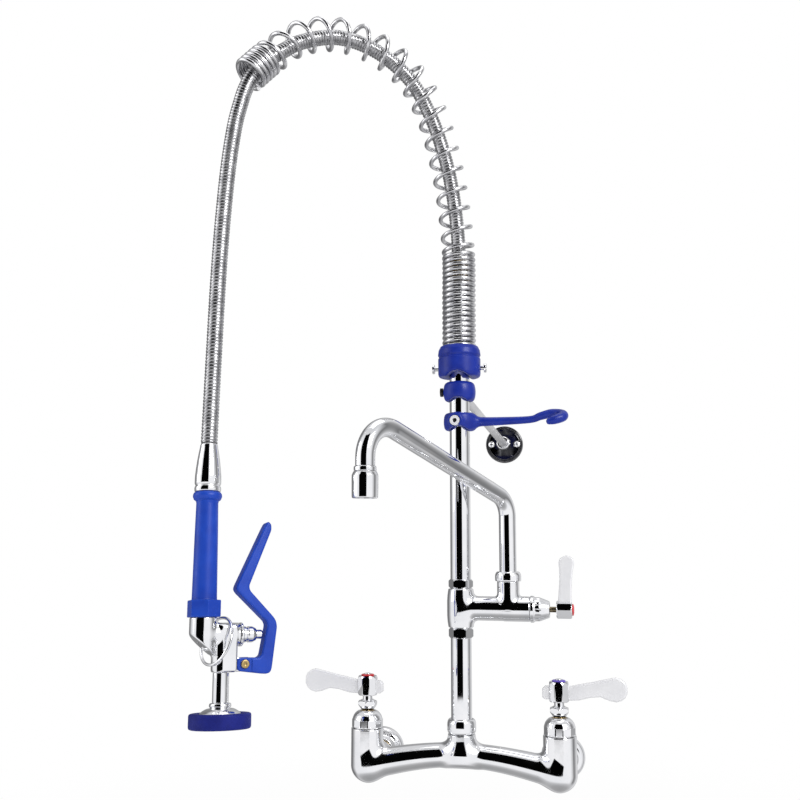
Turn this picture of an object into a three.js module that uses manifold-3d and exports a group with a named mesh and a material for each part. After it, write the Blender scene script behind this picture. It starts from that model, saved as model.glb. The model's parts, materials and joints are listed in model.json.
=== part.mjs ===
// Wall-mounted pre-rinse faucet: an 8 inch mixing base, an add-on swing spout, a sprung
// gooseneck and a squeeze spray valve. Millimetres, +Z up. The wall face of the two inlet
// flanges is Y = 0, the origin lies midway between the inlets, and the user stands at -Y.
import * as THREE from "three";
import { mergeVertices } from "three/addons/utils/BufferGeometryUtils.js";
import Module from "manifold-3d";

const wasm = await Module();
wasm.setup();

// ---- driving dimensions ----
const GAP = 0.3; // between pieces that touch or screw together
const SIDES = 14; // facets round a turned piece
const INLET_X = 101.6; // half of the 8 inch inlet spacing
const RISER_Y = -82; // riser axis in front of the wall
const RISER_R = 11;
const RISER_BORE = 9;
const HUB_TOP = 35.6; // top of the base's centre hub
const STEM_R = 5.1;
const HANDLE_Z = 71.5; // underside of the two lever handles
const ADDON_Z = 164.5; // axis of the add-on valve
const SPOUT_X = 50.7; // swivel axis of the spout
const SPOUT_R = 9.1;
const SPOUT_REACH = 221.5;
const SPOUT_TURN = 240; // direction of the spout in degrees from +X
const CLAMP_BORE = RISER_R + GAP;
const SPRING_R = 16.4; // wire centre
const WIRE_R = 2.4;
const TIGHT_PITCH = 5.75;
const TIGHT_TOP = 552;
const SPRING_BOTTOM = 436;
const ARC_TURN = 217; // direction of the gooseneck's arch in degrees from +X
const HOSE_R = 8;
const HOSE_BOTTOM = 328.3; // heights on the spray valve are counted from here
const SPRAY_LEAN = 6.5; // the hanging valve leans this many degrees towards LEAN_TURN
const LEAN_TURN = 293;
const PIVOT = [37.8, 123.4]; // lever pin, towards the riser and up, from the grip's axis
const PLUNGER_Z = 149.9;
const OUTLET_X = 17.5;

const CHROME = { color: 0xd9dadd, roughness: 0.08, metalness: 1 };
const STEEL = { color: 0xb9bbbf, roughness: 0.3, metalness: 1 };
const BRASS = { color: 0xa98448, roughness: 0.35, metalness: 1 };
const BLUE = { color: 0x1f36a8, roughness: 0.35, metalness: 0 };
const BLACK = { color: 0x16171a, roughness: 0.6, metalness: 0 };
const RED = { color: 0xc4242c, roughness: 0.4, metalness: 0 };
const VIOLET = { color: 0x4a3fae, roughness: 0.4, metalness: 0 };

// ---- solids ----
function solidOf(geometry) {
  const bare = new THREE.BufferGeometry();
  bare.setAttribute("position", geometry.getAttribute("position"));
  if (geometry.index) bare.setIndex(geometry.index);
  const merged = mergeVertices(bare, 1e-4);
  const corners = merged.index.array;
  const faces = [];
  for (let i = 0; i < corners.length; i += 3) {
    const [a, b, c] = [corners[i], corners[i + 1], corners[i + 2]];
    if (a !== b && b !== c && c !== a) faces.push([a, b, c]);
  }
  const build = (list) =>
    new wasm.Manifold(
      new wasm.Mesh({
        numProp: 3,
        vertProperties: new Float32Array(merged.attributes.position.array),
        triVerts: new Uint32Array(list.flat()),
      }),
    );
  const made = build(faces);
  return made.volume() > 0 ? made : build(faces.map(([a, b, c]) => [a, c, b]));
}

function geometryOf(solid) {
  const mesh = solid.getMesh();
  const geometry = new THREE.BufferGeometry();
  geometry.setAttribute("position", new THREE.BufferAttribute(mesh.vertProperties, 3));
  geometry.setIndex(new THREE.BufferAttribute(mesh.triVerts, 1));
  geometry.computeVertexNormals();
  return geometry;
}

// Turned about +Z from [radius, height] pairs that start and end on the axis, or close.
function turned(profile, sides = SIDES) {
  const points = profile.map(([r, z]) => new THREE.Vector2(r, z));
  return solidOf(new THREE.LatheGeometry(points, sides).rotateX(Math.PI / 2));
}

function rod(radius, z0, z1, sides) {
  return turned([[0, z0], [radius, z0], [radius, z1], [0, z1]], sides);
}

// A ring-shaped section: the profile is closed for you.
function ring(profile, sides) {
  return turned([...profile, profile[0]], sides);
}

function tube(outer, inner, z0, z1, sides) {
  return ring([[inner, z0], [outer, z0], [outer, z1], [inner, z1]], sides);
}

function prism(outline, z0, z1) {
  const shape = new THREE.Shape(outline.map(([x, y]) => new THREE.Vector2(x, y)));
  const flat = new THREE.ExtrudeGeometry(shape, { depth: z1 - z0, bevelEnabled: false });
  return solidOf(flat.translate(0, 0, z0));
}

function polygon(count, acrossFlats, turn = 0) {
  const radius = acrossFlats / 2 / Math.cos(Math.PI / count);
  return Array.from({ length: count }, (_, i) => {
    const angle = turn + (2 * Math.PI * i) / count;
    return [radius * Math.cos(angle), radius * Math.sin(angle)];
  });
}

// A nut or collar with `count` flats, its corners turned down at both ends.
function nut(count, acrossFlats, bore, z0, z1, turnDown = 1.2) {
  const flat = acrossFlats / 2;
  const corner = flat / Math.cos(Math.PI / count) + 0.1;
  const faces = prism(polygon(count, acrossFlats), z0, z1);
  const envelope = turned([
    [0, z0], [flat, z0], [corner, z0 + turnDown], [corner, z1 - turnDown], [flat, z1], [0, z1],
  ], 12);
  return faces.intersect(envelope).subtract(rod(bore, z0 - 1, z1 + 1));
}

// A closed skin over rings of equal point count, capped at both ends.
function skin(rings) {
  const count = rings[0].length;
  const middle = (points) =>
    points.reduce((sum, p) => sum.add(p), new THREE.Vector3()).divideScalar(points.length);
  const vertices = [...rings.flat(), middle(rings[0]), middle(rings[rings.length - 1])];
  const faces = [];
  for (let r = 0; r + 1 < rings.length; r += 1) {
    for (let i = 0; i < count; i += 1) {
      const [a, b] = [r * count + i, r * count + ((i + 1) % count)];
      faces.push(a, b, b + count, a, b + count, a + count);
    }
  }
  const last = (rings.length - 1) * count;
  for (let i = 0; i < count; i += 1) {
    const next = (i + 1) % count;
    faces.push(rings.length * count, next, i);
    faces.push(rings.length * count + 1, last + i, last + next);
  }
  const geometry = new THREE.BufferGeometry().setFromPoints(vertices);
  geometry.setIndex(faces);
  return solidOf(geometry);
}

// An ellipse about `centre` spanned by the half-axes `u` and `v`.
function oval(centre, u, v, sides) {
  return Array.from({ length: sides }, (_, i) => {
    const angle = (2 * Math.PI * i) / sides;
    return centre.clone().addScaledVector(u, Math.cos(angle)).addScaledVector(v, Math.sin(angle));
  });
}

const vec = (x, y, z) => new THREE.Vector3(x, y, z);
const alongX = (solid) => solid.rotate([0, 90, 0]);
const alongY = (solid) => solid.rotate([-90, 0, 0]);
const union = (solids) => solids.reduce((all, next) => all.add(next));

// A round bar of constant or changing radius along points, with `side` roughly normal to them.
function bar(points, radii, side, sides) {
  const rings = points.map((point, i) => {
    const before = points[Math.max(i - 1, 0)];
    const after = points[Math.min(i + 1, points.length - 1)];
    const along = after.clone().sub(before).normalize();
    const across = along.clone().cross(side).normalize();
    const level = across.clone().cross(along);
    const radius = Array.isArray(radii) ? radii[i] : radii;
    return oval(point, across.multiplyScalar(radius), level.multiplyScalar(radius), sides);
  });
  return skin(rings);
}

const part = new THREE.Group();
part.name = "pre_rinse_faucet";

function group(x, y, z, turnDegrees) {
  const made = new THREE.Group();
  made.position.set(x, y, z);
  made.rotation.z = THREE.MathUtils.degToRad(turnDegrees);
  part.add(made);
  return made;
}

function add(name, solid, finish, parent = part) {
  const mesh = new THREE.Mesh(geometryOf(solid), new THREE.MeshStandardMaterial(finish));
  mesh.name = name;
  parent.add(mesh);
  return mesh;
}

// ---- mixing base ----
const HOUSING = [
  [0, -17.6], [7, -17.2], [13, -14], [16.6, -8], [17.5, 0], [16.5, 38], [0, 38],
];
const CARTRIDGE_BORE = 11;
const BOSS_R = 13;
const BOSS_END = 34; // how far an inlet boss stands behind the riser plane

function armPoint(x) {
  const t = x / INLET_X;
  return vec(x, RISER_Y, 14 * (1 - t * t) * (1 - 0.35 * t * t));
}

function buildBase() {
  const side = vec(0, 1, 0);
  const stations = Array.from({ length: 11 }, (_, i) => INLET_X * (i / 5 - 1));
  const armRadius = (x) => 12.3 + 3.2 * (x / INLET_X) ** 2;
  const arms = bar(stations.map(armPoint), stations.map(armRadius), side, SIDES);
  const waterway = bar(stations.map(armPoint), stations.map(() => 7), side, 6);
  const hub = turned([
    [0, 4], [15.5, 4], [18, 16], [15.6, 24], [14.4, 29], [14.4, HUB_TOP], [0, HUB_TOP],
  ]).translate([0, RISER_Y, 0]);
  const bodies = [arms, hub];
  const cuts = [waterway, rod(RISER_R + GAP, 19.7, 60).translate([0, RISER_Y, 0])];
  for (const x of [-INLET_X, INLET_X]) {
    bodies.push(turned(HOUSING).translate([x, RISER_Y, 0]));
    bodies.push(alongY(rod(BOSS_R, 0, BOSS_END)).translate([x, RISER_Y, 0]));
    cuts.push(rod(CARTRIDGE_BORE, -3, 60).translate([x, RISER_Y, 0]));
    cuts.push(alongY(rod(6.5, 0, BOSS_END + 1)).translate([x, RISER_Y, 0]));
  }
  cuts.push(rod(RISER_BORE, 10, 30).translate([0, RISER_Y, 0]));
  return union(bodies).subtract(union(cuts));
}
add("mixing_body", buildBase(), CHROME);

function addInlet(side, x) {
  const parent = group(x, 0, 0, 0);
  const bossFace = RISER_Y + BOSS_END;
  add(
    `${side}_inlet_shank`,
    alongY(ring([
      [6.5, bossFace + GAP], [12, bossFace + GAP], [12, bossFace + 4], [9.5, bossFace + 4],
      [9.5, 0], [6.5, 0],
    ])),
    BRASS,
    parent,
  );
  const nutShape = nut(6, 32, 9.5 + GAP, bossFace - 6.5, bossFace + 17, 1.5);
  const counterbore = rod(BOSS_R + GAP, bossFace - 8, bossFace + 4 + GAP);
  add(`${side}_coupling_nut`, alongY(nutShape.subtract(counterbore)), CHROME, parent);
  add(
    `${side}_flange`,
    alongY(ring([
      [9.5 + GAP, 0], [9.5 + GAP, -16], [14, -16], [16, -11], [20, -9], [24, -3.5], [24, 0],
    ], 24)),
    CHROME,
    parent,
  );
}
addInlet("hot", -INLET_X);
addInlet("cold", INLET_X);

// A paddle handle about +Z with its blade along +X: its height grows to a round tip.
const BLADE = [
  [8, 1.2, 15.2], [20, 1.8, 17.8], [32, 4.9, 20.3], [42, 5.8, 22.5], [51, 2.4, 24.5],
  [58, 1.2, 26], [63, 2.7, 24.6], [67, 5.8, 21.6], [69.3, 10.5, 17],
];
const BLADE_HALF_THICKNESS = 2.6;

function blade(stations, halfThickness) {
  return skin(stations.map(([x, low, high]) =>
    oval(vec(x, 0, (low + high) / 2), vec(0, halfThickness, 0), vec(0, 0, (high - low) / 2), 12)));
}

function buildHandle() {
  const hub = nut(8, 19.8, 0.01, 0, 20, 1.6);
  const stub = blade([[-8, 2, 15.6], [-14, 2, 15.6], [-17.3, 3.2, 13.6]], 3.4);
  const plain = hub.add(rod(8, 0.5, 19.5)).add(blade(BLADE, BLADE_HALF_THICKNESS)).add(stub);
  return plain.subtract(rod(STEM_R + GAP, -1, 12));
}

function addValve(side, x, turnDegrees, indexFinish) {
  const parent = group(x, RISER_Y, 0, turnDegrees);
  const cartridge = ring([
    [STEM_R + GAP, -2], [10.7, -2], [10.7, 35], [8, 36], [8, 55], [STEM_R + GAP, 55],
  ]);
  add(`${side}_cartridge`, cartridge.subtract(alongX(rod(4, 0, 12)).translate([0, 0, 4])), BRASS, parent);
  add(
    `${side}_bonnet`,
    ring([
      [8 + GAP, 38 + GAP], [16.3, 38 + GAP], [16.6, 46], [15.4, 50], [12.5, 53.8], [9.5, 55.6],
      [8 + GAP, 55.6],
    ]),
    CHROME,
    parent,
  );
  add(`${side}_packing_nut`, nut(6, 18.6, STEM_R + GAP, 56, 67, 2.2), CHROME, parent);
  add(`${side}_stem`, turned([
    [0, 6], [3.5, 6], [3.5, 10], [STEM_R, 11], [STEM_R, HANDLE_Z + 11.5], [0, HANDLE_Z + 11.5],
  ]), BRASS, parent);
  add(`${side}_handle`, buildHandle().translate([0, 0, HANDLE_Z]), CHROME, parent);
  add(`${side}_index`, turned([
    [0, HANDLE_Z + 20 + GAP], [7.2, HANDLE_Z + 20 + GAP], [7, HANDLE_Z + 21.4],
    [3.6, HANDLE_Z + 22], [0, HANDLE_Z + 22.2],
  ]), indexFinish, parent);
}
addValve("hot", -INLET_X, 180, RED);
addValve("cold", INLET_X, 0, VIOLET);

// ---- risers and add-on valve ----
const riser = group(0, RISER_Y, 0, 0);
const BARREL = [144.3, 184.9]; // the add-on body's ends on the riser
const SOCKET = 8;
add("riser_nut", ring([
  [CLAMP_BORE, HUB_TOP + GAP], [14.2, HUB_TOP + GAP], [15.2, 39], [15.2, 47], [13.4, 50.8],
  [CLAMP_BORE, 50.8],
]), CHROME, riser);
add("lower_riser", tube(RISER_R, RISER_BORE, 20, BARREL[0] + SOCKET), CHROME, riser);
add("addon_lower_nut", nut(6, 23.6, CLAMP_BORE, 133.3, BARREL[0] - GAP), CHROME, riser);
add("addon_upper_nut", nut(6, 23.6, CLAMP_BORE, BARREL[1] + GAP, 195), CHROME, riser);
add("upper_riser", tube(RISER_R, RISER_BORE, BARREL[1] - SOCKET, 522), CHROME, riser);

function buildAddonBody() {
  const [low, high] = BARREL;
  const barrel = turned([
    [0, low], [13.2, low], [14.8, low + 12], [14.8, high - 12], [13.2, high], [0, high],
  ]);
  const run = alongX(rod(13.2, 0, 73.5)).translate([0, 0, ADDON_Z]);
  const branch = turned([
    [0, ADDON_Z], [13, ADDON_Z], [13, 176], [11.8, 181], [11.8, 193], [0, 193],
  ]).translate([SPOUT_X, 0, 0]);
  const cuts = [
    rod(8, low - 1, high + 1),
    rod(CLAMP_BORE, low - 1, low + SOCKET + GAP),
    rod(CLAMP_BORE, high - SOCKET - GAP, high + 1),
    alongX(rod(6, 0, 50)).translate([0, 0, ADDON_Z]),
    alongX(rod(9.5, 44, 75)).translate([0, 0, ADDON_Z]),
    rod(SPOUT_R + GAP, 177, 194).translate([SPOUT_X, 0, 0]),
    rod(5.5, ADDON_Z, 180).translate([SPOUT_X, 0, 0]),
  ];
  return union([barrel, run, branch]).subtract(union(cuts));
}
add("addon_body", buildAddonBody(), CHROME, riser);

const addonValve = group(0, RISER_Y, ADDON_Z, 0);
const THIN_STEM = 2.9;
add("addon_cartridge", alongX(ring([
  [THIN_STEM + GAP, 57], [9.2, 57], [9.2, 72.6], [7.2, 73.4], [7.2, 86], [THIN_STEM + GAP, 86],
])), BRASS, addonValve);
add("addon_bonnet", alongX(
  turned([[0, 73.8], [13.9, 73.8], [13.9, 77], [12.6, 78.5], [12.6, 83], [8.4, 94], [0, 94]])
    .intersect(nut(6, 25, 0.01, 73.8, 94, 0.5).add(rod(14, 73.8, 78.5)))
    .subtract(rod(7.2 + GAP, 73, 86 + GAP))
    .subtract(rod(THIN_STEM + GAP, 80, 95)),
), CHROME, addonValve);
add("addon_stem", alongX(rod(THIN_STEM, 60, 112)), BRASS, addonValve);

// The add-on's lever stands up: its blade runs along +Z from a round hub on the X axis.
function buildAddonHandle() {
  const hub = alongX(turned([
    [0, 101], [8.1, 101], [8.9, 102], [8.9, 115.6], [7.8, 116.8], [0, 116.8],
  ]));
  const stations = [[5, 7.1], [18, 6.9], [30, 6.6], [42, 7.4], [48.5, 8.4], [53, 7.4], [56.6, 3.4]];
  const lever = skin(stations.map(([z, half]) =>
    oval(vec(109.2 + z * 0.06, 0, z), vec(half, 0, 0), vec(0, 2.6, 0), 12)));
  return hub.add(lever).subtract(alongX(rod(THIN_STEM + GAP, 100, 112.3)));
}
add("addon_handle", buildAddonHandle(), CHROME, addonValve);
add("addon_index", alongX(turned([
  [0, 116.8 + GAP], [6.2, 116.8 + GAP], [6, 118.4], [3, 119.2], [0, 119.4],
])), RED, addonValve);

// ---- swing spout: its own frame has +X along the reach ----
const spout = group(SPOUT_X, RISER_Y, 0, SPOUT_TURN);
add("spout_swivel_nut", ring([
  [SPOUT_R + GAP, 193 + GAP], [13.6, 193 + GAP], [13.9, 195], [13.9, 200], [12, 203.4],
  [SPOUT_R + GAP, 203.4],
]), CHROME, spout);

function arc(cx, cz, radius, from, to, steps) {
  return Array.from({ length: steps + 1 }, (_, i) => {
    const angle = THREE.MathUtils.degToRad(from + ((to - from) * i) / steps);
    return vec(cx + radius * Math.cos(angle), 0, cz + radius * Math.sin(angle));
  });
}

function buildSpout() {
  const rise = 19; // slope of the straight run, degrees
  const path = [
    vec(0, 0, 177.5),
    vec(0, 0, 188),
    ...arc(24, 261, 24, 180, 90 + rise, 5),
    ...arc(SPOUT_REACH - 30, 310.5, 30, 90 + rise, 0, 6),
    vec(SPOUT_REACH, 0, 300.4),
  ];
  const side = vec(0, 1, 0);
  return bar(path, SPOUT_R, side, 16).subtract(bar(
    [vec(0, 0, 170), ...path.slice(1, -1), vec(SPOUT_REACH, 0, 298)], SPOUT_R - 1.6, side, 10,
  )).subtract(tube(12, 7.9, 180, 182.6, 16));
}
add("spout_tube", buildSpout(), CHROME, spout);
add("spout_o_ring", tube(8.9, 8.2, 180 + GAP, 182.3, 16), BLACK, spout);
add("aerator_housing", ring([
  [7, 273.5], [12, 273.5], [12.2, 294], [10.4, 298.2], [10.4, 300], [7, 300],
]).translate([SPOUT_REACH, 0, 0]), CHROME, spout);

// ---- finger hook, wall bracket and spring clamp on the riser ----
function collar(radius, z0, z1, round, sides) {
  return turned([
    [0, z0], [radius - round, z0], [radius - 0.3 * round, z0 + 0.3 * round], [radius, z0 + round],
    [radius, z1 - round], [radius - 0.3 * round, z1 - 0.3 * round], [radius - round, z1], [0, z1],
  ], sides);
}

// A cap screw whose shank points along its own -Z from the head's underside at z = 0.
function screw(headRadius, headHeight, shankRadius, shankLength, socket = 0) {
  const head = rod(headRadius, 0, headHeight, 16).add(rod(shankRadius, -shankLength, 1, 12));
  return socket ? head.subtract(prism(polygon(6, socket), headHeight / 2, headHeight + 1)) : head;
}

const HOOK_Z = 364.4;
const HOOK_SCREW_TURN = -100; // direction of the hook's clamp screw, degrees from +X
function buildHook() {
  const arm = [
    [10, 0, 0.3, 6], [21, 0, 0, 5.4], [45, 0, 0.2, 4.6], [77, -0.5, 1.2, 4], [88, -2, 4.6, 4.4],
    [99, -4, 6.8, 5], [110, -8, 5.4, 5.6], [114, -14, 3, 5.8], [111, -21, 0, 5.6],
    [103, -24.5, -2.6, 5.2], [97.5, -25, -4.4, 3.6],
  ];
  const points = arm.map(([x, y, z]) => vec(x, y, HOOK_Z + z));
  const finger = bar(points, arm.map(([, , , r]) => r), vec(0, 0, 1), 12);
  const lug = rod(8.2, 0, 17.5).rotate([90, 0, 0]).rotate([0, 0, HOOK_SCREW_TURN + 90])
    .translate([0, 0, HOOK_Z + 0.2]);
  const pocket = rod(3, 8, 14.2, 12).add(rod(5.8, 14.2, 30, 16)).rotate([90, 0, 0])
    .rotate([0, 0, HOOK_SCREW_TURN + 90]).translate([0, 0, HOOK_Z + 0.2]);
  return collar(17.5, 354.7, 374, 3).add(finger).add(lug)
    .subtract(rod(CLAMP_BORE, 350, 380)).subtract(pocket);
}
add("hook_clamp", buildHook(), BLUE, riser);
add("hook_screw", screw(5.5, 4.4, 2.7, 2.6, 4.6).translate([0, 0, 14.2 + GAP])
  .rotate([90, 0, 0]).rotate([0, 0, HOOK_SCREW_TURN + 90]).translate([0, 0, HOOK_Z + 0.2]),
CHROME, riser);

// The bracket rod runs back to the wall plate at full length, a little down and to +X.
const ROD_START = vec(1.4, 12.8, 396.2);
const ROD_END = vec(23.2, 283.6, 366.4);
const ROD_R = 4.8;
const rodLine = ROD_END.clone().sub(ROD_START);
const rodFrame = new THREE.Group();
rodFrame.position.copy(ROD_START);
rodFrame.quaternion.setFromUnitVectors(vec(0, 0, 1), rodLine.clone().normalize());
riser.add(rodFrame);
const rodLength = rodLine.length();
rodFrame.updateMatrix();

function buildBracketClamp() {
  const socket = rod(ROD_R + GAP, -GAP, 40).transform([...rodFrame.matrix.elements]);
  const boss = rod(8.2, -4, 9).transform([...rodFrame.matrix.elements]);
  return collar(17.8, 386.8, 408.6, 3.4).add(boss).subtract(rod(CLAMP_BORE, 380, 420))
    .subtract(socket).subtract(alongX(rod(2.8, -30, -5)).translate([0, 0, 397.8]));
}
add("bracket_clamp", buildBracketClamp(), BLUE, riser);
add("bracket_screw", screw(4.8, 3.2, 2.5, 6, 3).rotate([0, -90, 0])
  .translate([-17.9 - GAP, 0, 397.8]), BLACK, riser);
add("bracket_rod", rod(ROD_R, 0, rodLength), STEEL, rodFrame);
add("bracket_boss", ring([
  [ROD_R + GAP, rodLength - 15.5], [8.4, rodLength - 15.5], [9.6, rodLength - 13.5],
  [9.6, rodLength - 8.4], [ROD_R + GAP, rodLength - 8.4],
]), CHROME, rodFrame);
const PLATE_Y = ROD_END.y + 2; // back face of the wall plate
const plate = alongY(collar(25.4, 0, 8.5, 1.5, 24))
  .translate([ROD_END.x, PLATE_Y - 8.5, ROD_END.z]);
const plateHoles = [-17.5, 17.5].map((dx) =>
  alongY(rod(2.6, -20, 20)).translate([ROD_END.x + dx, PLATE_Y, ROD_END.z]));
const rodHole = rod(ROD_R + GAP, rodLength - 20, rodLength + GAP)
  .transform([...rodFrame.matrix.elements]);
add("bracket_flange", plate.subtract(union(plateHoles)).subtract(rodHole), CHROME, riser);

const CLAMP_SCREW_Z = 424;
function buildSpringClamp() {
  const outside = turned([
    [0, 414], [23, 414], [23.5, 418], [23.5, 435], [22.9, 436.5], [23.6, 438.5], [23, 444],
    [21, 448], [18, 450.4], [0, 450.4],
  ], 20);
  const seat = rod(SPRING_R + WIRE_R + 3 * GAP, 433.2, 460);
  const arch = alongY(rod(11, -40, 0)).translate([0, 0, 409]);
  const holes = alongX(rod(2.6, -40, 40)).translate([0, 0, CLAMP_SCREW_Z]);
  return outside.subtract(rod(CLAMP_BORE, 400, 440)).subtract(seat).subtract(arch).subtract(holes);
}
add("spring_clamp", buildSpringClamp(), BLUE, riser);
for (const [name, turn] of [["right", 90], ["left", -90]]) {
  const thumb = screw(5.2, 2.4, 2.3, 16).translate([0, 0, 27.6]).rotate([0, turn, 0]);
  add(`clamp_screw_${name}`, thumb.translate([0, 0, CLAMP_SCREW_Z]), CHROME, riser);
}

// ---- gooseneck: its own frame has +X along the arch's reach ----
const neck = group(0, RISER_Y, 0, ARC_TURN);
const ARCH = [
  [0, SPRING_BOTTOM], [0, 500], [0, TIGHT_TOP], [4, 594], [13.5, 650], [34, 715], [60, 754],
  [103, 779], [153, 784], [197, 767], [213.5, 752], [229.5, 736], [248.5, 714],
];
const HOSE = [
  [0, 546], [0.4, 572], [7.5, 628], [18, 670], [36, 714], [61, 750], [103, 775], [148, 780.3],
  [192, 764.4], [212, 749.5], [229, 734.5], [243.4, 715.5], [251.4, 697.5], [256.2, 680], [260.6, 660],
  [266, 618], [270.6, 556], [273.4, 495], [275.6, 420, 0.9], [277.9, 359.5, 4.6], [279.3, 327.5, 7.7],
];
const HOSE_END = HOSE[HOSE.length - 1];
const curve = (route) => new THREE.CatmullRomCurve3(
  route.map(([x, z, y = 0]) => vec(x, y, z)), false, "centripetal",
);

const END_TURNS = 5;
const RUN_IN = 18; // length over which the coils open or close
// Turns per millimetre at `s` along the arch: tight, open, then tight again.
function coilRate(s, length) {
  const tightLength = TIGHT_TOP - SPRING_BOTTOM;
  const endLength = END_TURNS * TIGHT_PITCH;
  const open = Math.min((s - tightLength) / RUN_IN, (length - endLength - s) / RUN_IN, 1);
  const openPitch = 22 + (2.6 * (s - tightLength)) / (length - tightLength);
  return open <= 0 ? 1 / TIGHT_PITCH : 1 / (TIGHT_PITCH + open * (openPitch - TIGHT_PITCH));
}

function buildSpring(stepsPerTurn, sides) {
  const line = curve(ARCH);
  line.arcLengthDivisions = 800;
  const length = line.getLength();
  const out = vec(0, -1, 0);
  const wire = [];
  const axis = [];
  let turns = 0;
  let s = 0;
  while (s < length) {
    const tangent = line.getTangentAt(s / length);
    const up = tangent.clone().cross(out);
    const angle = turns * 2 * Math.PI;
    axis.push(line.getPointAt(s / length));
    wire.push(axis[axis.length - 1].clone()
      .addScaledVector(up, SPRING_R * Math.cos(angle))
      .addScaledVector(out, -SPRING_R * Math.sin(angle)));
    turns += 1 / stepsPerTurn;
    s += 1 / stepsPerTurn / coilRate(s, length);
  }
  const rings = wire.map((point, i) => {
    const along = wire[Math.min(i + 1, wire.length - 1)].clone()
      .sub(wire[Math.max(i - 1, 0)]).normalize();
    const outward = point.clone().sub(axis[i]).projectOnPlane(along).normalize();
    return oval(point, outward.multiplyScalar(WIRE_R), outward.clone().cross(along)
      .normalize().multiplyScalar(WIRE_R), sides);
  });
  return skin(rings);
}
add("support_spring", buildSpring(9, 4), STEEL, neck);
add("hose_coupling", nut(6, 22, 5, 522 + GAP, 546 - GAP, 2), BRASS, neck);
add("hose", bar(curve(HOSE).getSpacedPoints(34), HOSE_R, vec(0, 1, 0), 10), STEEL, neck);

// ---- spray valve: it leans about the hose's end; +X points back to the riser ----
const radians = THREE.MathUtils.degToRad;
const hanger = new THREE.Group();
hanger.position.set(HOSE_END[0], HOSE_END[2], HOSE_END[1])
  .applyAxisAngle(vec(0, 0, 1), radians(ARC_TURN))
  .add(vec(0, RISER_Y, 0));
hanger.quaternion.setFromAxisAngle(
  vec(-1, 0, 0).applyAxisAngle(vec(0, 0, 1), radians(LEAN_TURN + 90)), radians(SPRAY_LEAN),
).multiply(new THREE.Quaternion().setFromAxisAngle(vec(0, 0, 1), radians(ARC_TURN - 180)));
part.add(hanger);
const spray = new THREE.Group();
spray.position.z = -HOSE_BOTTOM;
hanger.add(spray);
const GRIP_TOP = 280.8;
const HEX_TOP = 181.1;
const NECK_TOP = 165.3;
add("hose_ferrule", ring([
  [5, GRIP_TOP + GAP], [12.2, GRIP_TOP + GAP], [12.5, 286], [11.3, 287.6], [12.4, 289],
  [12.3, 296], [11.2, 307], [9.4, 319], [8.2, 327.9], [5, 327.9],
]), CHROME, spray);
add("grip", turned([
  [0, HEX_TOP - 2], [11.6, HEX_TOP - 2], [11.4, HEX_TOP + 6], [10.3, 271.9], [12.4, 272.8],
  [13.8, 276.8], [12.6, GRIP_TOP], [0, GRIP_TOP],
]).add(prism(polygon(6, 27.4, Math.PI / 6), NECK_TOP + GAP, HEX_TOP))
  .subtract(rod(6, NECK_TOP - 1, GRIP_TOP + 1)), BLUE, spray);

function buildSprayBody() {
  const levels = [ // height, far edge, near edge, half width
    [158.9, -12.3, 27.2, 10.3], [155.9, -12.6, 30, 11.2], [152, -12.8, 30.2, 11.4],
    [143, -4.5, 30.2, 11.2], [134.5, 4.6, 30.2, 11.1], [129.6, 8.1, 30.2, 11.1],
    [116.4, 8.1, 30.2, 11.1],
  ];
  const shell = skin(levels.map(([z, far, near, half]) =>
    oval(vec((far + near) / 2, 0, z), vec((near - far) / 2, 0, 0), vec(0, half, 0), 20)));
  const neckPiece = rod(12.8, 153, NECK_TOP);
  const sideBore = alongX(rod(10.6, 19, 33)).translate([0, 0, PLUNGER_Z]);
  const lug = prism([[23, 116.8], [42.4, 116.8], [42.4, 129.6], [23, 129.6]], -3.4, 3.4)
    .rotate([90, 0, 0]);
  const cuts = [
    rod(6, PLUNGER_Z, 172),
    alongX(rod(7, -4, 40)).translate([0, 0, PLUNGER_Z]),
    rod(5.5, 115, PLUNGER_Z).translate([OUTLET_X, 0, 0]),
    rod(2.2 + GAP, -20, 20).rotate([90, 0, 0]).translate([PIVOT[0], 0, PIVOT[1]]),
  ];
  return union([shell, neckPiece, sideBore, lug]).subtract(union(cuts));
}
add("spray_body", buildSprayBody(), CHROME, spray);
const sideways = (solid) => alongX(solid).translate([0, 0, PLUNGER_Z]);
add("spray_bonnet", sideways(ring([
  [3.2, 21], [6.7, 21], [6.7, 33 + GAP], [11.2, 33 + GAP], [11.2, 36.2], [3.2, 36.2],
])), CHROME, spray);
add("spray_packing_nut", sideways(nut(6, 14.6, 4.6, 36.2 + GAP, 49.2)), CHROME, spray);
add("spray_plunger", sideways(turned([
  [0, 10], [5.8, 10], [5.8, 13], [2.8, 13.5], [2.8, 42], [4.2, 43], [4.2, 54.4], [3, 56],
  [0, 56.2],
])), BRASS, spray);

function buildReturnSpring() {
  const coils = 4;
  const steps = 28;
  const wire = Array.from({ length: steps + 1 }, (_, i) => {
    const angle = (2 * Math.PI * coils * i) / steps;
    return vec(4.7 * Math.cos(angle), 4.7 * Math.sin(angle), -2.6 + (11.2 * i) / steps);
  });
  return bar(wire, 0.7, vec(0, 0, 1), 4);
}
add("return_spring", sideways(buildReturnSpring()), STEEL, spray);

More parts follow.
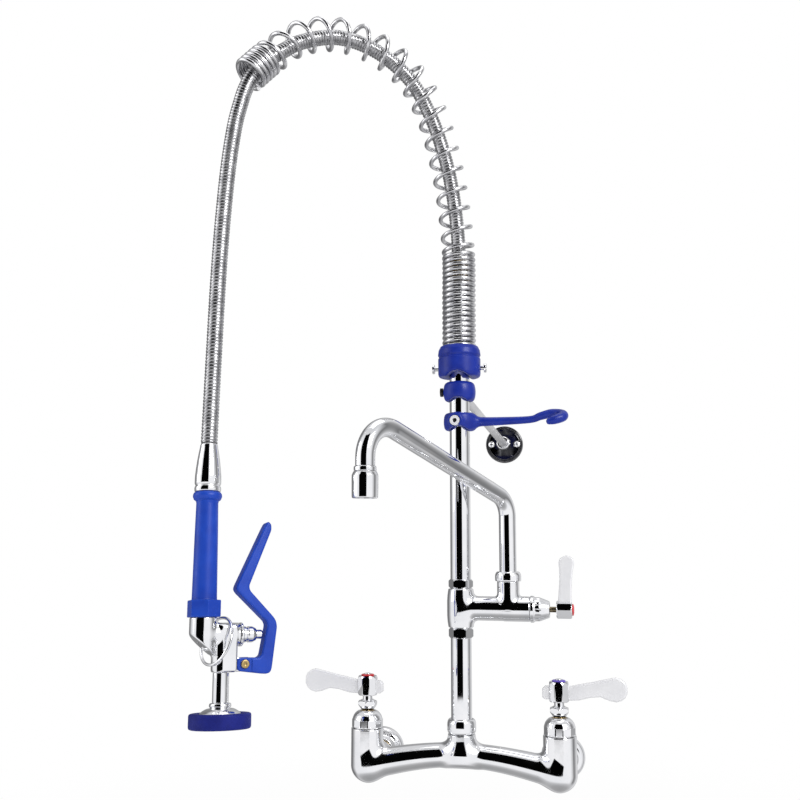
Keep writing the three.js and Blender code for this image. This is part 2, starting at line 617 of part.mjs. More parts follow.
function buildLever() {
  const outline = [
    [32.8, 117.2], [57.9, 114], [62.1, 114.9], [63.9, 118.4], [68.7, 157], [67.4, 162.4],
    [64.5, 166.2], [41.9, 189.7], [40.9, 193.8], [62, 247.2], [61.5, 252.5], [58.9, 255],
    [56.6, 253.6], [54.4, 249.6], [29, 194.8], [28, 191.3], [29.6, 188.2], [57.7, 161.6],
    [58.8, 158.1], [53.8, 131.2], [51.2, 129], [37.1, 129.4], [32.8, 129.3], [30.7, 126.7],
    [30.7, 119.4],
  ];
  const blank = prism(outline, -7, 7).rotate([90, 0, 0]);
  const slot = prism([[20, 110], [45.2, 110], [45.2, 134], [20, 134]], -3.7, 3.7)
    .rotate([90, 0, 0]);
  const pin = rod(2.2 + GAP, -20, 20).rotate([90, 0, 0]).translate([PIVOT[0], 0, PIVOT[1]]);
  return blank.subtract(slot).subtract(pin);
}
add("spray_lever", buildLever(), BLUE, spray);
add("lever_screw", rod(2.2, -7.2, 8, 12).add(rod(4.1, 7 + GAP, 9, 16))
  .rotate([90, 0, 0]).translate([PIVOT[0], 0, PIVOT[1]]), BRASS, spray);

// The wire ring hangs round the valve's waist, leaning back and turned to one side.
function buildHangerRing() {
  const lean = vec(0.314, 0, 0.949).normalize();
  const normal = lean.clone().cross(vec(0.307, -0.946, -0.108)).normalize();
  const across = normal.clone().cross(lean);
  const centre = vec(12.4, 0, 144.2);
  const steps = 24;
  const shape = new THREE.TorusGeometry(21.9, 1.4, 6, steps);
  shape.applyMatrix4(new THREE.Matrix4().makeBasis(across, lean, normal));
  return solidOf(shape.translate(centre.x, centre.y, centre.z));
}
add("hanger_ring", buildHangerRing(), STEEL, spray);

add("nozzle_tube", ring([
  [4.2, 89.9 + GAP], [7.4, 89.9 + GAP], [7.4, 116.1], [5.2, 116.1], [5.2, 123], [4.2, 123],
]).translate([OUTLET_X, 0, 0]), CHROME, spray);
add("nozzle_face", ring([
  [4.2, 71], [19.3, 71], [19.3, 80], [17.3, 82], [13, 84.8], [10.1, 85.8], [10.1, 89.9],
  [4.2, 89.9],
]).translate([OUTLET_X, 0, 0]), CHROME, spray);
add("bumper", ring([
  [19.3 + GAP, 67.4], [27.2, 67.4], [28.2, 68.6], [28.2, 80.2], [27.2, 81.3], [20.8, 81.3],
  [19.3 + GAP, 80],
], 24).translate([OUTLET_X, 0, 0]), BLUE, spray);

export default part;
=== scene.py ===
# Looks for the pre-rinse faucet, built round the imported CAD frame. Shapes are worked out in
# millimetres in each piece's own frame, and placed in the row frame in metres.
import json
import math

import bpy
import numpy as np
from mathutils import Matrix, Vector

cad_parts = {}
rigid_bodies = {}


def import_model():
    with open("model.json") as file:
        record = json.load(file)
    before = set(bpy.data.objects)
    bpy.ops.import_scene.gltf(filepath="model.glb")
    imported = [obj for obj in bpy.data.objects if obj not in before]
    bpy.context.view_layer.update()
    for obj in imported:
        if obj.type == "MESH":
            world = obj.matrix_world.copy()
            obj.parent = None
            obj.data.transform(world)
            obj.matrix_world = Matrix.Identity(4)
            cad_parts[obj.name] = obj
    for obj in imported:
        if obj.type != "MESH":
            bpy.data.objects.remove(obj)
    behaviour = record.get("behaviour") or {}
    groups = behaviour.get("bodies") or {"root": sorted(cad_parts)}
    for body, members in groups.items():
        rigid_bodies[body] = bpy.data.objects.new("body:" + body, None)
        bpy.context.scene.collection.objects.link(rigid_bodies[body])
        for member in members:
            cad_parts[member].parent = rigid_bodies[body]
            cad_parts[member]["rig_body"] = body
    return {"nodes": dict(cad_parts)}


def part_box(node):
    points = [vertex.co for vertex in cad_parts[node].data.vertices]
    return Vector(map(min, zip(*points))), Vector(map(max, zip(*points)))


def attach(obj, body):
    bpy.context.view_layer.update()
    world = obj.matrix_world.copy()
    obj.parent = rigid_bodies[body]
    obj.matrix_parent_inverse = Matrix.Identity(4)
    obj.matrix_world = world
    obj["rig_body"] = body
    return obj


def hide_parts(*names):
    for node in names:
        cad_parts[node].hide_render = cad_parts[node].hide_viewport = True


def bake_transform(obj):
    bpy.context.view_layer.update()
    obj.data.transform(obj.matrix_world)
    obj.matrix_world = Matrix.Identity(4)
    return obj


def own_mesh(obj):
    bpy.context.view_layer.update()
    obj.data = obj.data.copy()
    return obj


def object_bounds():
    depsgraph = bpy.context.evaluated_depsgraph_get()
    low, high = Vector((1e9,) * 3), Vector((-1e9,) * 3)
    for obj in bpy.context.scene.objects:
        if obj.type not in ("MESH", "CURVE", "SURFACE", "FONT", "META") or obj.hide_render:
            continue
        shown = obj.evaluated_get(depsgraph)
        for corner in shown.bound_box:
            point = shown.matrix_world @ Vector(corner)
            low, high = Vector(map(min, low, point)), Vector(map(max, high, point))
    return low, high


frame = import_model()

CAD_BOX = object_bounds()
MM = 0.001
GAP = 0.3
RISER_R = 11
RISER_FIT = RISER_R + GAP


# ---- frames: 4x4 matrices in millimetres ----
def shift(x, y, z):
    made = np.eye(4)
    made[:3, 3] = (x, y, z)
    return made


def turn(axis, degrees):
    angle = math.radians(degrees)
    a = np.array(axis, float) / np.linalg.norm(axis)
    k = np.array([[0, -a[2], a[1]], [a[2], 0, -a[0]], [-a[1], a[0], 0]])
    made = np.eye(4)
    made[:3, :3] += math.sin(angle) * k + (1 - math.cos(angle)) * k @ k
    return made


def centre(node):
    low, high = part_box(node)
    return (np.array(low) + np.array(high)) / 2 / MM


def pointing(origin, direction):
    """A frame at `origin` whose Z points along `direction` and whose X is level."""
    z = direction / np.linalg.norm(direction)
    x = np.cross(Z, z)
    x /= np.linalg.norm(x)
    made = np.eye(4)
    made[:3] = np.stack([x, np.cross(z, x), z, origin], 1)
    return made


X, Y, Z = (1, 0, 0), (0, 1, 0), (0, 0, 1)
RISER = shift(*centre("lower_riser")[:2], 0)
HOT = shift(centre("hot_packing_nut")[0], RISER[1, 3], 0) @ turn(Z, 180)
COLD = shift(centre("cold_packing_nut")[0], RISER[1, 3], 0)
ADDON_Z = centre("addon_stem")[2]
ADDON = RISER @ shift(0, 0, ADDON_Z)
ADDON_ALONG = ADDON @ turn(Y, 90)
SPOUT_X = 50.7
SPOUT = RISER @ shift(SPOUT_X, 0, 0) @ turn(Z, 240)
NECK = RISER @ turn(Z, 217)
# The spray valve hangs from the hose's end, leaning about a level axis.
HOSE_END = (279.3, 7.7, 327.5)
HOSE_MOUTH_Z = 328.3
LEAN = 6.5
LEAN_AXIS = -(turn(Z, 23) @ np.array([1, 0, 0, 0]))[:3]
SPRAY = NECK @ shift(*HOSE_END)
SPRAY[:3, :3] = (turn(LEAN_AXIS, LEAN) @ turn(Z, 37))[:3, :3]
SPRAY = SPRAY @ shift(0, 0, -HOSE_MOUTH_Z)
PLUNGER_Z = 149.9
SIDEWAYS = SPRAY @ shift(0, 0, PLUNGER_Z) @ turn(Y, 90)
OUTLET_X = 17.5
OUTLET = SPRAY @ shift(OUTLET_X, 0, 0)
PIVOT = (37.8, 123.4)
ROD_START = np.array([1.4, 12.8, 396.2])
ROD_END = np.array([23.2, 283.6, 366.4])
ROD_LENGTH = float(np.linalg.norm(ROD_END - ROD_START))
ROD = RISER @ pointing(ROD_START, ROD_END - ROD_START)


# ---- camera: it looks along +Y, turned a little to the left and tilted up ----
CAMERA = (shift(142.28, RISER[1, 3] - 1028.5, 237.7) @ turn(Z, 11.5) @ turn(X, 90 + 8.3)
          @ turn(Z, 0.145))
LENS = 42.75


def add_camera():
    data = bpy.data.cameras.new("camera")
    data.sensor_width = 36
    data.lens = LENS
    data.clip_start, data.clip_end = 0.05, 50
    camera = add_object("camera", data)
    placed = CAMERA.copy()
    placed[:3, 3] *= MM
    camera.matrix_world = Matrix(placed.tolist())
    bpy.context.scene.camera = camera


# ---- materials ----
def add_node(tree, kind, output, inputs=None, mode=None):
    """Adds a shader node, sets or links its inputs, and returns one of its outputs."""
    node = tree.nodes.new("ShaderNode" + kind)
    if kind == "Mix":
        node.data_type = "RGBA"
    elif kind == "MapRange":
        node.interpolation_type = mode or "LINEAR"
    elif mode:
        node.operation = mode
    for socket, value in (inputs or {}).items():
        if isinstance(value, bpy.types.NodeSocket):
            tree.links.new(value, node.inputs[socket])
        else:
            node.inputs[socket].default_value = value
    return node.outputs[output]


def add_ramp(tree, source, stops):
    """A colour ramp through (position, colour) stops."""
    node = tree.nodes.new("ShaderNodeValToRGB")
    elements = node.color_ramp.elements
    for element, (position, colour) in zip(elements, (stops[0], stops[-1])):
        element.position, element.color = position, (*colour, 1)
    for position, colour in stops[1:-1]:
        elements.new(position).color = (*colour, 1)
    tree.links.new(source, node.inputs["Fac"])
    return node.outputs["Color"]


def material(name, low, high, metallic, rough, noise, bump=0.0, bump_scale=900.0, painted_edge_light=None,
             stretch=(1, 1, 1), coat=0.0, speck=None, shine=0.5):
    """Two close colours and two roughnesses mixed by noise, a fine bump, and painted light on
    convex edges: paler as a painted highlight on the blue and black parts, darker as a painted
    outline on the satin parts.
    """
    made = bpy.data.materials.new(name)
    made.use_nodes = True
    tree = made.node_tree
    shader = tree.nodes["Principled BSDF"].inputs
    shader["Metallic"].default_value = metallic
    shader["Coat Weight"].default_value = coat
    shader["Coat Roughness"].default_value = 0.12
    shader["Specular IOR Level"].default_value = shine
    place = add_node(tree, "TexCoord", "Object")
    scaled = add_node(tree, "Mapping", "Vector", {"Scale": stretch, "Vector": place})

    def texture(scale, detail=4.0):
        return add_node(tree, "TexNoise", "Fac",
                        {"Scale": scale, "Detail": detail, "Vector": scaled})

    def over(colour, mask, paint):
        return add_node(tree, "Mix", "Result", {"Factor": mask, "A": colour, "B": (*paint, 1)})

    colour = add_ramp(tree, texture(noise), [(0.35, low), (0.65, high)])
    if speck:
        dots = add_ramp(tree, texture(2600, 2.0), [(0.6, (0, 0, 0)), (0.72, (1, 1, 1))])
        colour = over(colour, dots, speck)
    # Painted light: convex edges, found by Pointiness, are recoloured as a painted highlight or as
    # a painted dark outline, depending on the material.
    if painted_edge_light:
        edges = add_ramp(tree, add_node(tree, "NewGeometry", "Pointiness"),
                         [(0.53, (0, 0, 0)), (0.62, (0.7, 0.7, 0.7))])
        colour = over(colour, edges, painted_edge_light)
    tree.links.new(colour, shader["Base Color"])
    spread = add_node(tree, "MapRange", "Result", {
        "From Min": 0.3, "From Max": 0.7, "To Min": rough[0], "To Max": rough[1],
        "Value": texture(noise * 2.3, 6.0),
    })
    tree.links.new(spread, shader["Roughness"])
    if bump:
        bumped = add_node(tree, "Bump", "Normal", {
            "Strength": bump, "Distance": 0.0002, "Height": texture(bump_scale, 3.0),
        })
        tree.links.new(bumped, shader["Normal"])
    return made


CHROME = material("chrome", (0.86, 0.87, 0.89), (0.93, 0.93, 0.94), 1, (0.012, 0.06), 60,
                  bump=0.005, bump_scale=400)
# The wall plate's chrome has a near-black base colour: a painted dark reflection.
CHROME_PAINTED_DARK = material("chrome_painted_dark_reflection", (0.08, 0.08, 0.085), (0.14, 0.14, 0.145), 1, (0.03, 0.09),
                       60, bump=0.02, bump_scale=400)
AGED_BRASS = material("aged_brass", (0.10, 0.08, 0.05), (0.30, 0.25, 0.16), 1, (0.2, 0.4), 300,
                      bump=0.1, bump_scale=900)
CAST_CHROME = material("cast_chrome", (0.84, 0.85, 0.87), (0.92, 0.92, 0.93), 1, (0.03, 0.1), 45,
                       bump=0.01, bump_scale=260)
# Pale near-white satin for the chrome handle blades and the hook's set screw: a painted reflection
# of the white room in place of chrome, with a painted dark outline on its edges.
SATIN_PAINTED_REFLECTION = material("satin_painted_reflection", (0.76, 0.76, 0.785), (0.82, 0.82, 0.84), 0.12,
                        (0.3, 0.4), 40, bump=0.02, bump_scale=300, painted_edge_light=(0.5, 0.5, 0.52))
SPRING_STEEL = material("spring_steel", (0.55, 0.55, 0.57), (0.78, 0.78, 0.79), 1, (0.1, 0.26), 90,
                        bump=0.06, bump_scale=1200)
HOSE_STEEL = material("hose_steel", (0.34, 0.34, 0.35), (0.58, 0.58, 0.59), 1, (0.14, 0.3), 120,
                      bump=0.05, bump_scale=1500)
ROD_STEEL = material("rod_steel", (0.62, 0.62, 0.64), (0.74, 0.74, 0.75), 0.7, (0.3, 0.45), 80,
                     bump=0.1, bump_scale=1500, stretch=(1, 0.08, 1))
BRASS = material("brass", (0.40, 0.29, 0.12), (0.62, 0.47, 0.24), 1, (0.2, 0.4), 110,
                 bump=0.12, bump_scale=1300)
# The three blues take paler edges: a painted highlight.
BLUE = material("blue_coat", (0.006, 0.019, 0.24), (0.009, 0.029, 0.31), 0, (0.26, 0.4), 55,
                bump=0.10, bump_scale=700, painted_edge_light=(0.05, 0.11, 0.52), shine=0.3)
GRIP_BLUE = material("grip_blue", (0.007, 0.044, 0.38), (0.010, 0.060, 0.46), 0, (0.3, 0.42), 60,
                     bump=0.08, bump_scale=800, painted_edge_light=(0.06, 0.16, 0.62), shine=0.3)
BLUE_RUBBER = material("blue_rubber", (0.005, 0.009, 0.14), (0.008, 0.014, 0.19), 0, (0.5, 0.66),
                       80, bump=0.25, bump_scale=1300, painted_edge_light=(0.03, 0.06, 0.34),
                       speck=(0.012, 0.024, 0.24), shine=0.2)
RED = material("red_index", (0.50, 0.010, 0.016), (0.62, 0.02, 0.03), 0, (0.2, 0.32), 140,
               bump=0.05, coat=0.3)
VIOLET = material("violet_index", (0.10, 0.06, 0.46), (0.15, 0.09, 0.56), 0, (0.2, 0.32), 140,
                  bump=0.05, coat=0.3)
# Black steel takes paler edges: a painted highlight.
BLACK_STEEL = material("black_steel", (0.012, 0.012, 0.014), (0.03, 0.03, 0.032), 0.6,
                       (0.25, 0.42), 150, bump=0.08, painted_edge_light=(0.12, 0.12, 0.12))
BLACK_RUBBER = material("black_rubber", (0.01, 0.01, 0.01), (0.02, 0.02, 0.02), 0, (0.55, 0.7),
                        150, bump=0.2)
# A near-black finish that paints the shade in a recess.
SOCKET_SHADE_PAINT = material("painted_socket_shade", (0.01, 0.01, 0.012), (0.025, 0.025, 0.028), 0.3, (0.4, 0.6), 200,
                bump=0.1)


# ---- mesh pieces ----
def add_object(name, data):
    made = bpy.data.objects.new(name, data)
    bpy.context.scene.collection.objects.link(made)
    return made


def piece(name, points, faces, place, body, nodes=(), slot=None, finish=CHROME, normals=None,
          sharp=32):
    points = np.asarray(points, float)
    world = (points @ place[:3, :3].T + place[:3, 3]) * MM
    fans = np.array([(f[0], f[i], f[i + 1]) for f in faces for i in range(1, len(f) - 1)])
    a, b, c = (world[fans[:, k]] for k in range(3))
    if (a * np.cross(b, c)).sum() < 0:
        faces = [f[::-1] for f in faces]
    mesh = bpy.data.meshes.new(name)
    mesh.from_pydata(world.tolist(), [], [list(map(int, f)) for f in faces])
    mesh.validate()
    mesh.polygons.foreach_set("use_smooth", [True] * len(mesh.polygons))
    if normals is not None:
        mesh.normals_split_custom_set_from_vertices((normals @ place[:3, :3].T).tolist())
    elif sharp:
        mesh.set_sharp_from_angle(angle=math.radians(sharp))
    mesh.materials.append(finish)
    made = add_object(name, mesh)
    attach(made, body)
    if nodes:
        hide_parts(*nodes)
    return made


def soften(profile, radius, closed, steps=4):
    """The same outline with each corner rounded by up to `radius`."""
    points = [np.array(p, float) for p in profile]
    count = len(points)
    out = []
    for i, p in enumerate(points):
        if not closed and i in (0, count - 1):
            out.append(p)
            continue
        before, after = points[i - 1], points[(i + 1) % count]
        u, v = before - p, after - p
        lu, lv = np.linalg.norm(u), np.linalg.norm(v)
        reach = min(radius, lu * 0.45, lv * 0.45)
        a, b = p + u / lu * reach, p + v / lv * reach
        for t in np.linspace(0, 1, steps + 1):
            out.append((1 - t) ** 2 * a + 2 * t * (1 - t) * p + t * t * b)
    return np.array(out)


def circle(radii, angles, z):
    return np.stack([radii * np.cos(angles), radii * np.sin(angles), np.full(len(angles), z)], 1)


def lathe(name, profile, place, body, nodes=(), slot="chrome", finish=CHROME, soft=0.5,
          segments=72, wave=None):
    """Turned about the frame's Z. A profile that ends on the axis is closed there."""
    closed = profile[0][0] > 1e-6 and profile[-1][0] > 1e-6
    outline = soften(profile, soft, closed)
    angles = np.linspace(0, 2 * math.pi, segments, endpoint=False)
    points, rows = [], []
    for r, z in outline:
        radii = r * np.ones(segments)
        if wave is not None:
            radii = radii + wave(angles, r, z)
        ring = circle(radii, angles, z)
        on_axis = not closed and r < 1e-6
        rows.append([len(points) + (0 if on_axis else k) for k in range(segments)])
        points.extend((ring[:1] if on_axis else ring).tolist())
    faces = []
    for i in range(len(rows) if closed else len(rows) - 1):
        a, b = rows[i], rows[(i + 1) % len(rows)]
        for k in range(segments):
            m = (k + 1) % segments
            corners = list(dict.fromkeys((a[k], a[m], b[m], b[k])))
            if len(corners) > 2:
                faces.append(corners)
    return piece(name, points, faces, place, body, nodes, slot, finish)


def nut(name, count, flats, z0, z1, bore, place, body, nodes=(), slot="chrome", finish=CHROME,
        chamfer=(1.0, 1.0), slope=0.55, facing=0.0):
    """Flats round a turned blank: the chamfer cone cuts curved arcs into the flats."""
    per_flat = 20
    around = np.arange(count * per_flat) * 2 * math.pi / (count * per_flat)
    angles = around + math.radians(facing)
    local = (around + math.pi / count) % (2 * math.pi / count)
    sides = flats / 2 / np.cos(local - math.pi / count)
    corner = flats / 2 / math.cos(math.pi / count) - flats / 2
    ladder = [(corner * slope * t, flats / 2 - 0.25 + (corner + 0.3) * t)
              for t in np.linspace(0, 1, 6)]
    levels = [(z0 + rise * chamfer[0], cone) for rise, cone in ladder]
    levels += [(z1 - rise * chamfer[1], cone) for rise, cone in ladder[::-1]]
    rings = [circle(np.minimum(sides, cone), angles, z) for z, cone in levels]
    rings += [circle(bore, angles, z) for z in (z1, z0)]
    return piece(name, *loft(rings, True), place, body, nodes, slot, finish, sharp=18)


def loft(rings, closed=False, caps=False):
    count, total = len(rings[0]), len(rings)
    points = np.concatenate(rings)
    k = np.arange(count)
    m = (k + 1) % count
    faces = []
    for i in range(total if closed else total - 1):
        a, b = i * count, ((i + 1) % total) * count
        faces.extend(np.stack([a + k, a + m, b + m, b + k], 1).tolist())
    if caps:
        faces.append(list(range(count)))
        faces.append([(total - 1) * count + i for i in range(count)][::-1])
    return points, faces


def sweep_rings(path, radii, sides, loop=False):
    """Circles along a path, carried without twist. `radii` is a number or a table."""
    path = np.asarray(path, float)
    ahead = np.roll(path, -1, 0) - np.roll(path, 1, 0)
    if not loop:
        ahead[0], ahead[-1] = path[1] - path[0], path[-1] - path[-2]
    ahead /= np.linalg.norm(ahead, axis=1)[:, None]
    side = np.cross(ahead[0], (0.3, 0.9, 0.2))
    side /= np.linalg.norm(side)
    radii = np.broadcast_to(radii, (len(path), sides))
    angles = np.arange(sides) * 2 * math.pi / sides
    rings = []
    for p, t, r in zip(path, ahead, radii):
        side = side - t * (side @ t)
        side /= np.linalg.norm(side)
        other = np.cross(t, side)
        rings.append(p + r[:, None] * (np.cos(angles)[:, None] * side
                                       + np.sin(angles)[:, None] * other))
    return rings


def tube(name, path, radius, place, body, nodes=(), slot="chrome", finish=CHROME, sides=40,
         loop=False):
    return piece(name, *loft(sweep_rings(path, radius, sides, loop), loop, not loop), place, body,
                 nodes, slot, finish)


# ---- implicit solids: rounded unions whose surface is found on a grid, then made exact ----
def smooth_min(a, b, k):
    h = np.clip(0.5 + 0.5 * (b - a) / k, 0, 1)
    return b * (1 - h) + a * h - k * h * (1 - h)


def smooth_max(a, b, k):
    return -smooth_min(-a, -b, k)


def surface(solid, low, high, step):
    """Vertices, faces and normals of solid(points) = 0 inside the box."""
    low, high = np.array(low, float), np.array(high, float)
    n = np.ceil((high - low) / step).astype(int) + 1
    axes = [low[i] + step * np.arange(n[i]) for i in range(3)]
    grid = np.stack(np.meshgrid(*axes, indexing="ij"), -1)
    value = solid(grid.reshape(-1, 3)).reshape(n)
    inside = value < 0
    shape = n - 1
    total, hits = np.zeros((*shape, 3)), np.zeros(shape)
    corners = [(i, j, k) for i in (0, 1) for j in (0, 1) for k in (0, 1)]

    def cut(array, c):
        return array[c[0]:c[0] + shape[0], c[1]:c[1] + shape[1], c[2]:c[2] + shape[2]]

    for a in corners:
        for b in corners:
            if sum(b) - sum(a) != 1 or any(b[i] < a[i] for i in range(3)):
                continue
            fa, fb = cut(value, a), cut(value, b)
            cross = cut(inside, a) != cut(inside, b)
            t = np.where(cross, fa / np.where(cross, fa - fb, 1), 0)
            here = cut(grid, a) + t[..., None] * (cut(grid, b) - cut(grid, a))
            total += np.where(cross[..., None], here, 0)
            hits += cross
    active = hits > 0
    index = -np.ones(shape, int)
    index[active] = np.arange(active.sum())
    points = total[active] / hits[active][:, None]
    faces = []
    for axis in range(3):
        one, two = [(1, 2), (2, 0), (0, 1)][axis]
        span = [slice(1, n[i] - 1) for i in range(3)]
        first, second = list(span), list(span)
        first[axis], second[axis] = slice(0, n[axis] - 1), slice(1, n[axis])
        a, b = inside[tuple(first)], inside[tuple(second)]
        where = np.argwhere(a != b)
        flip = b[tuple(where.T)]
        where[:, [i for i in range(3) if i != axis]] += 1

        def cell(da, db):
            at = where.copy()
            at[:, one] += da
            at[:, two] += db
            return index[tuple(at.T)]

        quad = np.stack([cell(-1, -1), cell(0, -1), cell(0, 0), cell(-1, 0)], 1)
        quad[flip] = quad[flip][:, ::-1]
        faces.append(quad)
    faces = np.concatenate(faces)
    eps = step * 0.06

    def slope(p):
        return np.stack([(solid(p + d) - solid(p - d)) / (2 * eps) for d in np.eye(3) * eps], 1)

    for _ in range(4):
        gradient = slope(points)
        size = np.maximum((gradient ** 2).sum(1), 0.2)
        move = -solid(points)[:, None] * gradient / size[:, None]
        length = np.linalg.norm(move, axis=1)[:, None]
        points = points + move * np.minimum(1, 0.5 * step / np.maximum(length, 1e-9))
    gradient = slope(points)
    normals = gradient / np.maximum(np.linalg.norm(gradient, axis=1)[:, None], 1e-9)
    return points, faces.tolist(), normals


def implicit(name, solid, low, high, step, place, body, nodes=(), slot="chrome",
             finish=CAST_CHROME):
    points, faces, normals = surface(solid, low, high, step)
    return piece(name, points, faces, place, body, nodes, slot, finish, normals=normals)


def radial(p, x=0.0, y=0.0):
    return np.hypot(p[:, 0] - x, p[:, 1] - y)


def block(p, low, high, corner):
    low, high = np.array(low, float), np.array(high, float)
    q = np.abs(p - (low + high) / 2) - (high - low) / 2 + corner
    return np.linalg.norm(np.maximum(q, 0), axis=1) + np.minimum(q.max(1), 0) - corner


def limb(p, stations):
    """A rounded bar along a smooth curve through (point, radius) stations."""
    rows = np.array([(*point, radius) for point, radius in stations], float)
    rows = np.concatenate([[2 * rows[0] - rows[1]], rows, [2 * rows[-1] - rows[-2]]])
    fine = []
    for i in range(1, len(rows) - 2):
        t = np.linspace(0, 1, 5, endpoint=False)[:, None]
        a, b, c, d = rows[i - 1:i + 3]
        fine.append(0.5 * (2 * b + (c - a) * t + (2 * a - 5 * b + 4 * c - d) * t ** 2
                           + (3 * b - a - 3 * c + d) * t ** 3))
    fine = np.concatenate([*fine, rows[-2:-1]])
    made = np.full(len(p), 1e9)
    for a, b in zip(fine, fine[1:]):
        along_it = b[:3] - a[:3]
        t = np.clip((p - a[:3]) @ along_it / (along_it @ along_it), 0, 1)
        d = np.linalg.norm(p - a[:3] - t[:, None] * along_it, axis=1)
        made = np.minimum(made, d - (a[3] + (b[3] - a[3]) * t))
    return made


def polygon_distance(x, z, outline):
    """Signed distance to a closed outline."""
    outline = np.array(outline, float)
    best = np.full(len(x), 1e9)
    inside = np.zeros(len(x), bool)
    for a, b in zip(outline, np.roll(outline, -1, 0)):
        e = b - a
        t = np.clip(((x - a[0]) * e[0] + (z - a[1]) * e[1]) / (e @ e), 0, 1)
        best = np.minimum(best, np.hypot(x - a[0] - t * e[0], z - a[1] - t * e[1]))
        crosses = (a[1] > z) != (b[1] > z)
        if abs(e[1]) > 1e-9:
            inside ^= crosses & (x < a[0] + (z - a[1]) / e[1] * e[0])
    return np.where(inside, -best, best)


# ---- routes shared by the hose and the spring, as in the CAD source ----
ARCH = [
    (0, 436), (0, 500), (0, 552), (4, 594), (13.5, 650), (34, 715), (60, 754), (103, 779),
    (153, 784), (197, 767), (213.5, 752), (229.5, 736), (248.5, 714),
]
HOSE = [
    (0, 546), (0.4, 572), (7.5, 628), (18, 670), (36, 714), (61, 750), (103, 775), (148, 780.3),
    (192, 764.4), (212, 749.5), (229, 734.5), (243.4, 715.5), (251.4, 697.5), (256.2, 680),
    (260.6, 660), (266, 618), (270.6, 556), (273.4, 495), (275.6, 420, 0.9),
    (277.9, 359.5, 4.6), (279.3, 327.5, 7.7),
]


def curve(route, per=60):
    """Centripetal Catmull-Rom through the route, as points (x, y, z) and arc lengths."""
    p = np.array([(r[0], r[2] if len(r) > 2 else 0, r[1]) for r in route], float)
    p = np.concatenate([[2 * p[0] - p[1]], p, [2 * p[-1] - p[-2]]])
    out = []
    for i in range(1, len(p) - 2):
        d0, d1, d2 = (np.linalg.norm(p[i + j] - p[i + j - 1]) ** 0.5 for j in (0, 1, 2))
        x0, x1, x2, x3 = p[i - 1:i + 3]
        t1 = ((x1 - x0) / d0 - (x2 - x0) / (d0 + d1) + (x2 - x1) / d1) * d1
        t2 = ((x2 - x1) / d1 - (x3 - x1) / (d1 + d2) + (x3 - x2) / d2) * d1
        t = np.linspace(0, 1, per, endpoint=False)[:, None]
        out.append(x1 + t1 * t + (-3 * x1 + 3 * x2 - 2 * t1 - t2) * t ** 2
                   + (2 * x1 - 2 * x2 + t1 + t2) * t ** 3)
    out = np.concatenate([*out, p[-2:-1]])
    length = np.concatenate([[0], np.cumsum(np.linalg.norm(np.diff(out, axis=0), axis=1))])
    return out, length


def at(line, length, s):
    return np.stack([np.interp(s, length, line[:, i]) for i in range(3)], -1)


# ---- hose first: it is the free cord ----
HOSE_R = 8.0
RIB = 3.3


def build_hose():
    line, length = curve(HOSE)
    s = np.arange(0, length[-1], RIB / 5)
    s = np.append(s[:-1], length[-1])
    path = at(line, length, s)
    sides = 22
    phase = (s[:, None] / RIB - np.arange(sides)[None, :] / sides) % 1
    groove = np.interp(phase, [0, 0.12, 0.26, 0.5, 0.8, 0.92, 1],
                       [1.0, 0.66, 0.08, 0, 0.07, 0.5, 1.0])
    rings = sweep_rings(path, HOSE_R - 0.02 - groove, sides)
    made = piece("hose_skin", *loft(rings, False, True), NECK, "root", slot="hose_steel",
                 finish=HOSE_STEEL, sharp=None)
    made.parent = None
    made.matrix_world = Matrix.Identity(4)
    del made["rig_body"]
    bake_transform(made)
    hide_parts("hose")


add_camera()
build_hose()

# ---- support spring ----
SPRING_R, WIRE_R, TIGHT_PITCH, END_TURNS, RUN_IN = 16.4, 2.38, 5.75, 5, 18


def build_spring():
    line, length = curve(ARCH)
    total = length[-1]
    tight = 552 - 436

    def pitch(s):
        opened = min((s - tight) / RUN_IN, (total - END_TURNS * TIGHT_PITCH - s) / RUN_IN, 1)
        wide = 22 + 2.6 * (s - tight) / (total - tight)
        return TIGHT_PITCH if opened <= 0 else TIGHT_PITCH + opened * (wide - TIGHT_PITCH)

    per = 9
    marks, s = [], 0.0
    while s < total:
        marks.append(s)
        s += pitch(s) / per
    fine = 4
    turns = np.arange(0, len(marks) - 1, 1 / fine) / per
    s = np.interp(turns * per, np.arange(len(marks)), marks)
    on = at(line, length, s)
    ahead = at(line, length, s + 0.5) - at(line, length, s - 0.5)
    ahead /= np.linalg.norm(ahead, axis=1)[:, None]
    out = np.array([0.0, -1.0, 0.0])
    up = np.cross(ahead, out)
    angle = turns[:, None] * 2 * math.pi
    wire = on + SPRING_R * np.cos(angle) * up - SPRING_R * np.sin(angle) * out
    # The crown is let down, to stay below the top of the CAD wire's facets.
    lift = np.clip((wire[:, 2] - 700) / 100, 0, 1)
    wire[:, 2] -= 1.1 * lift * lift * (3 - 2 * lift)
    tube("spring_wire", wire, WIRE_R, NECK, "root", ["support_spring"], "spring_steel",
         SPRING_STEEL, sides=12)


build_spring()


# ---- mixing base ----
INLET_X = COLD[0, 3]


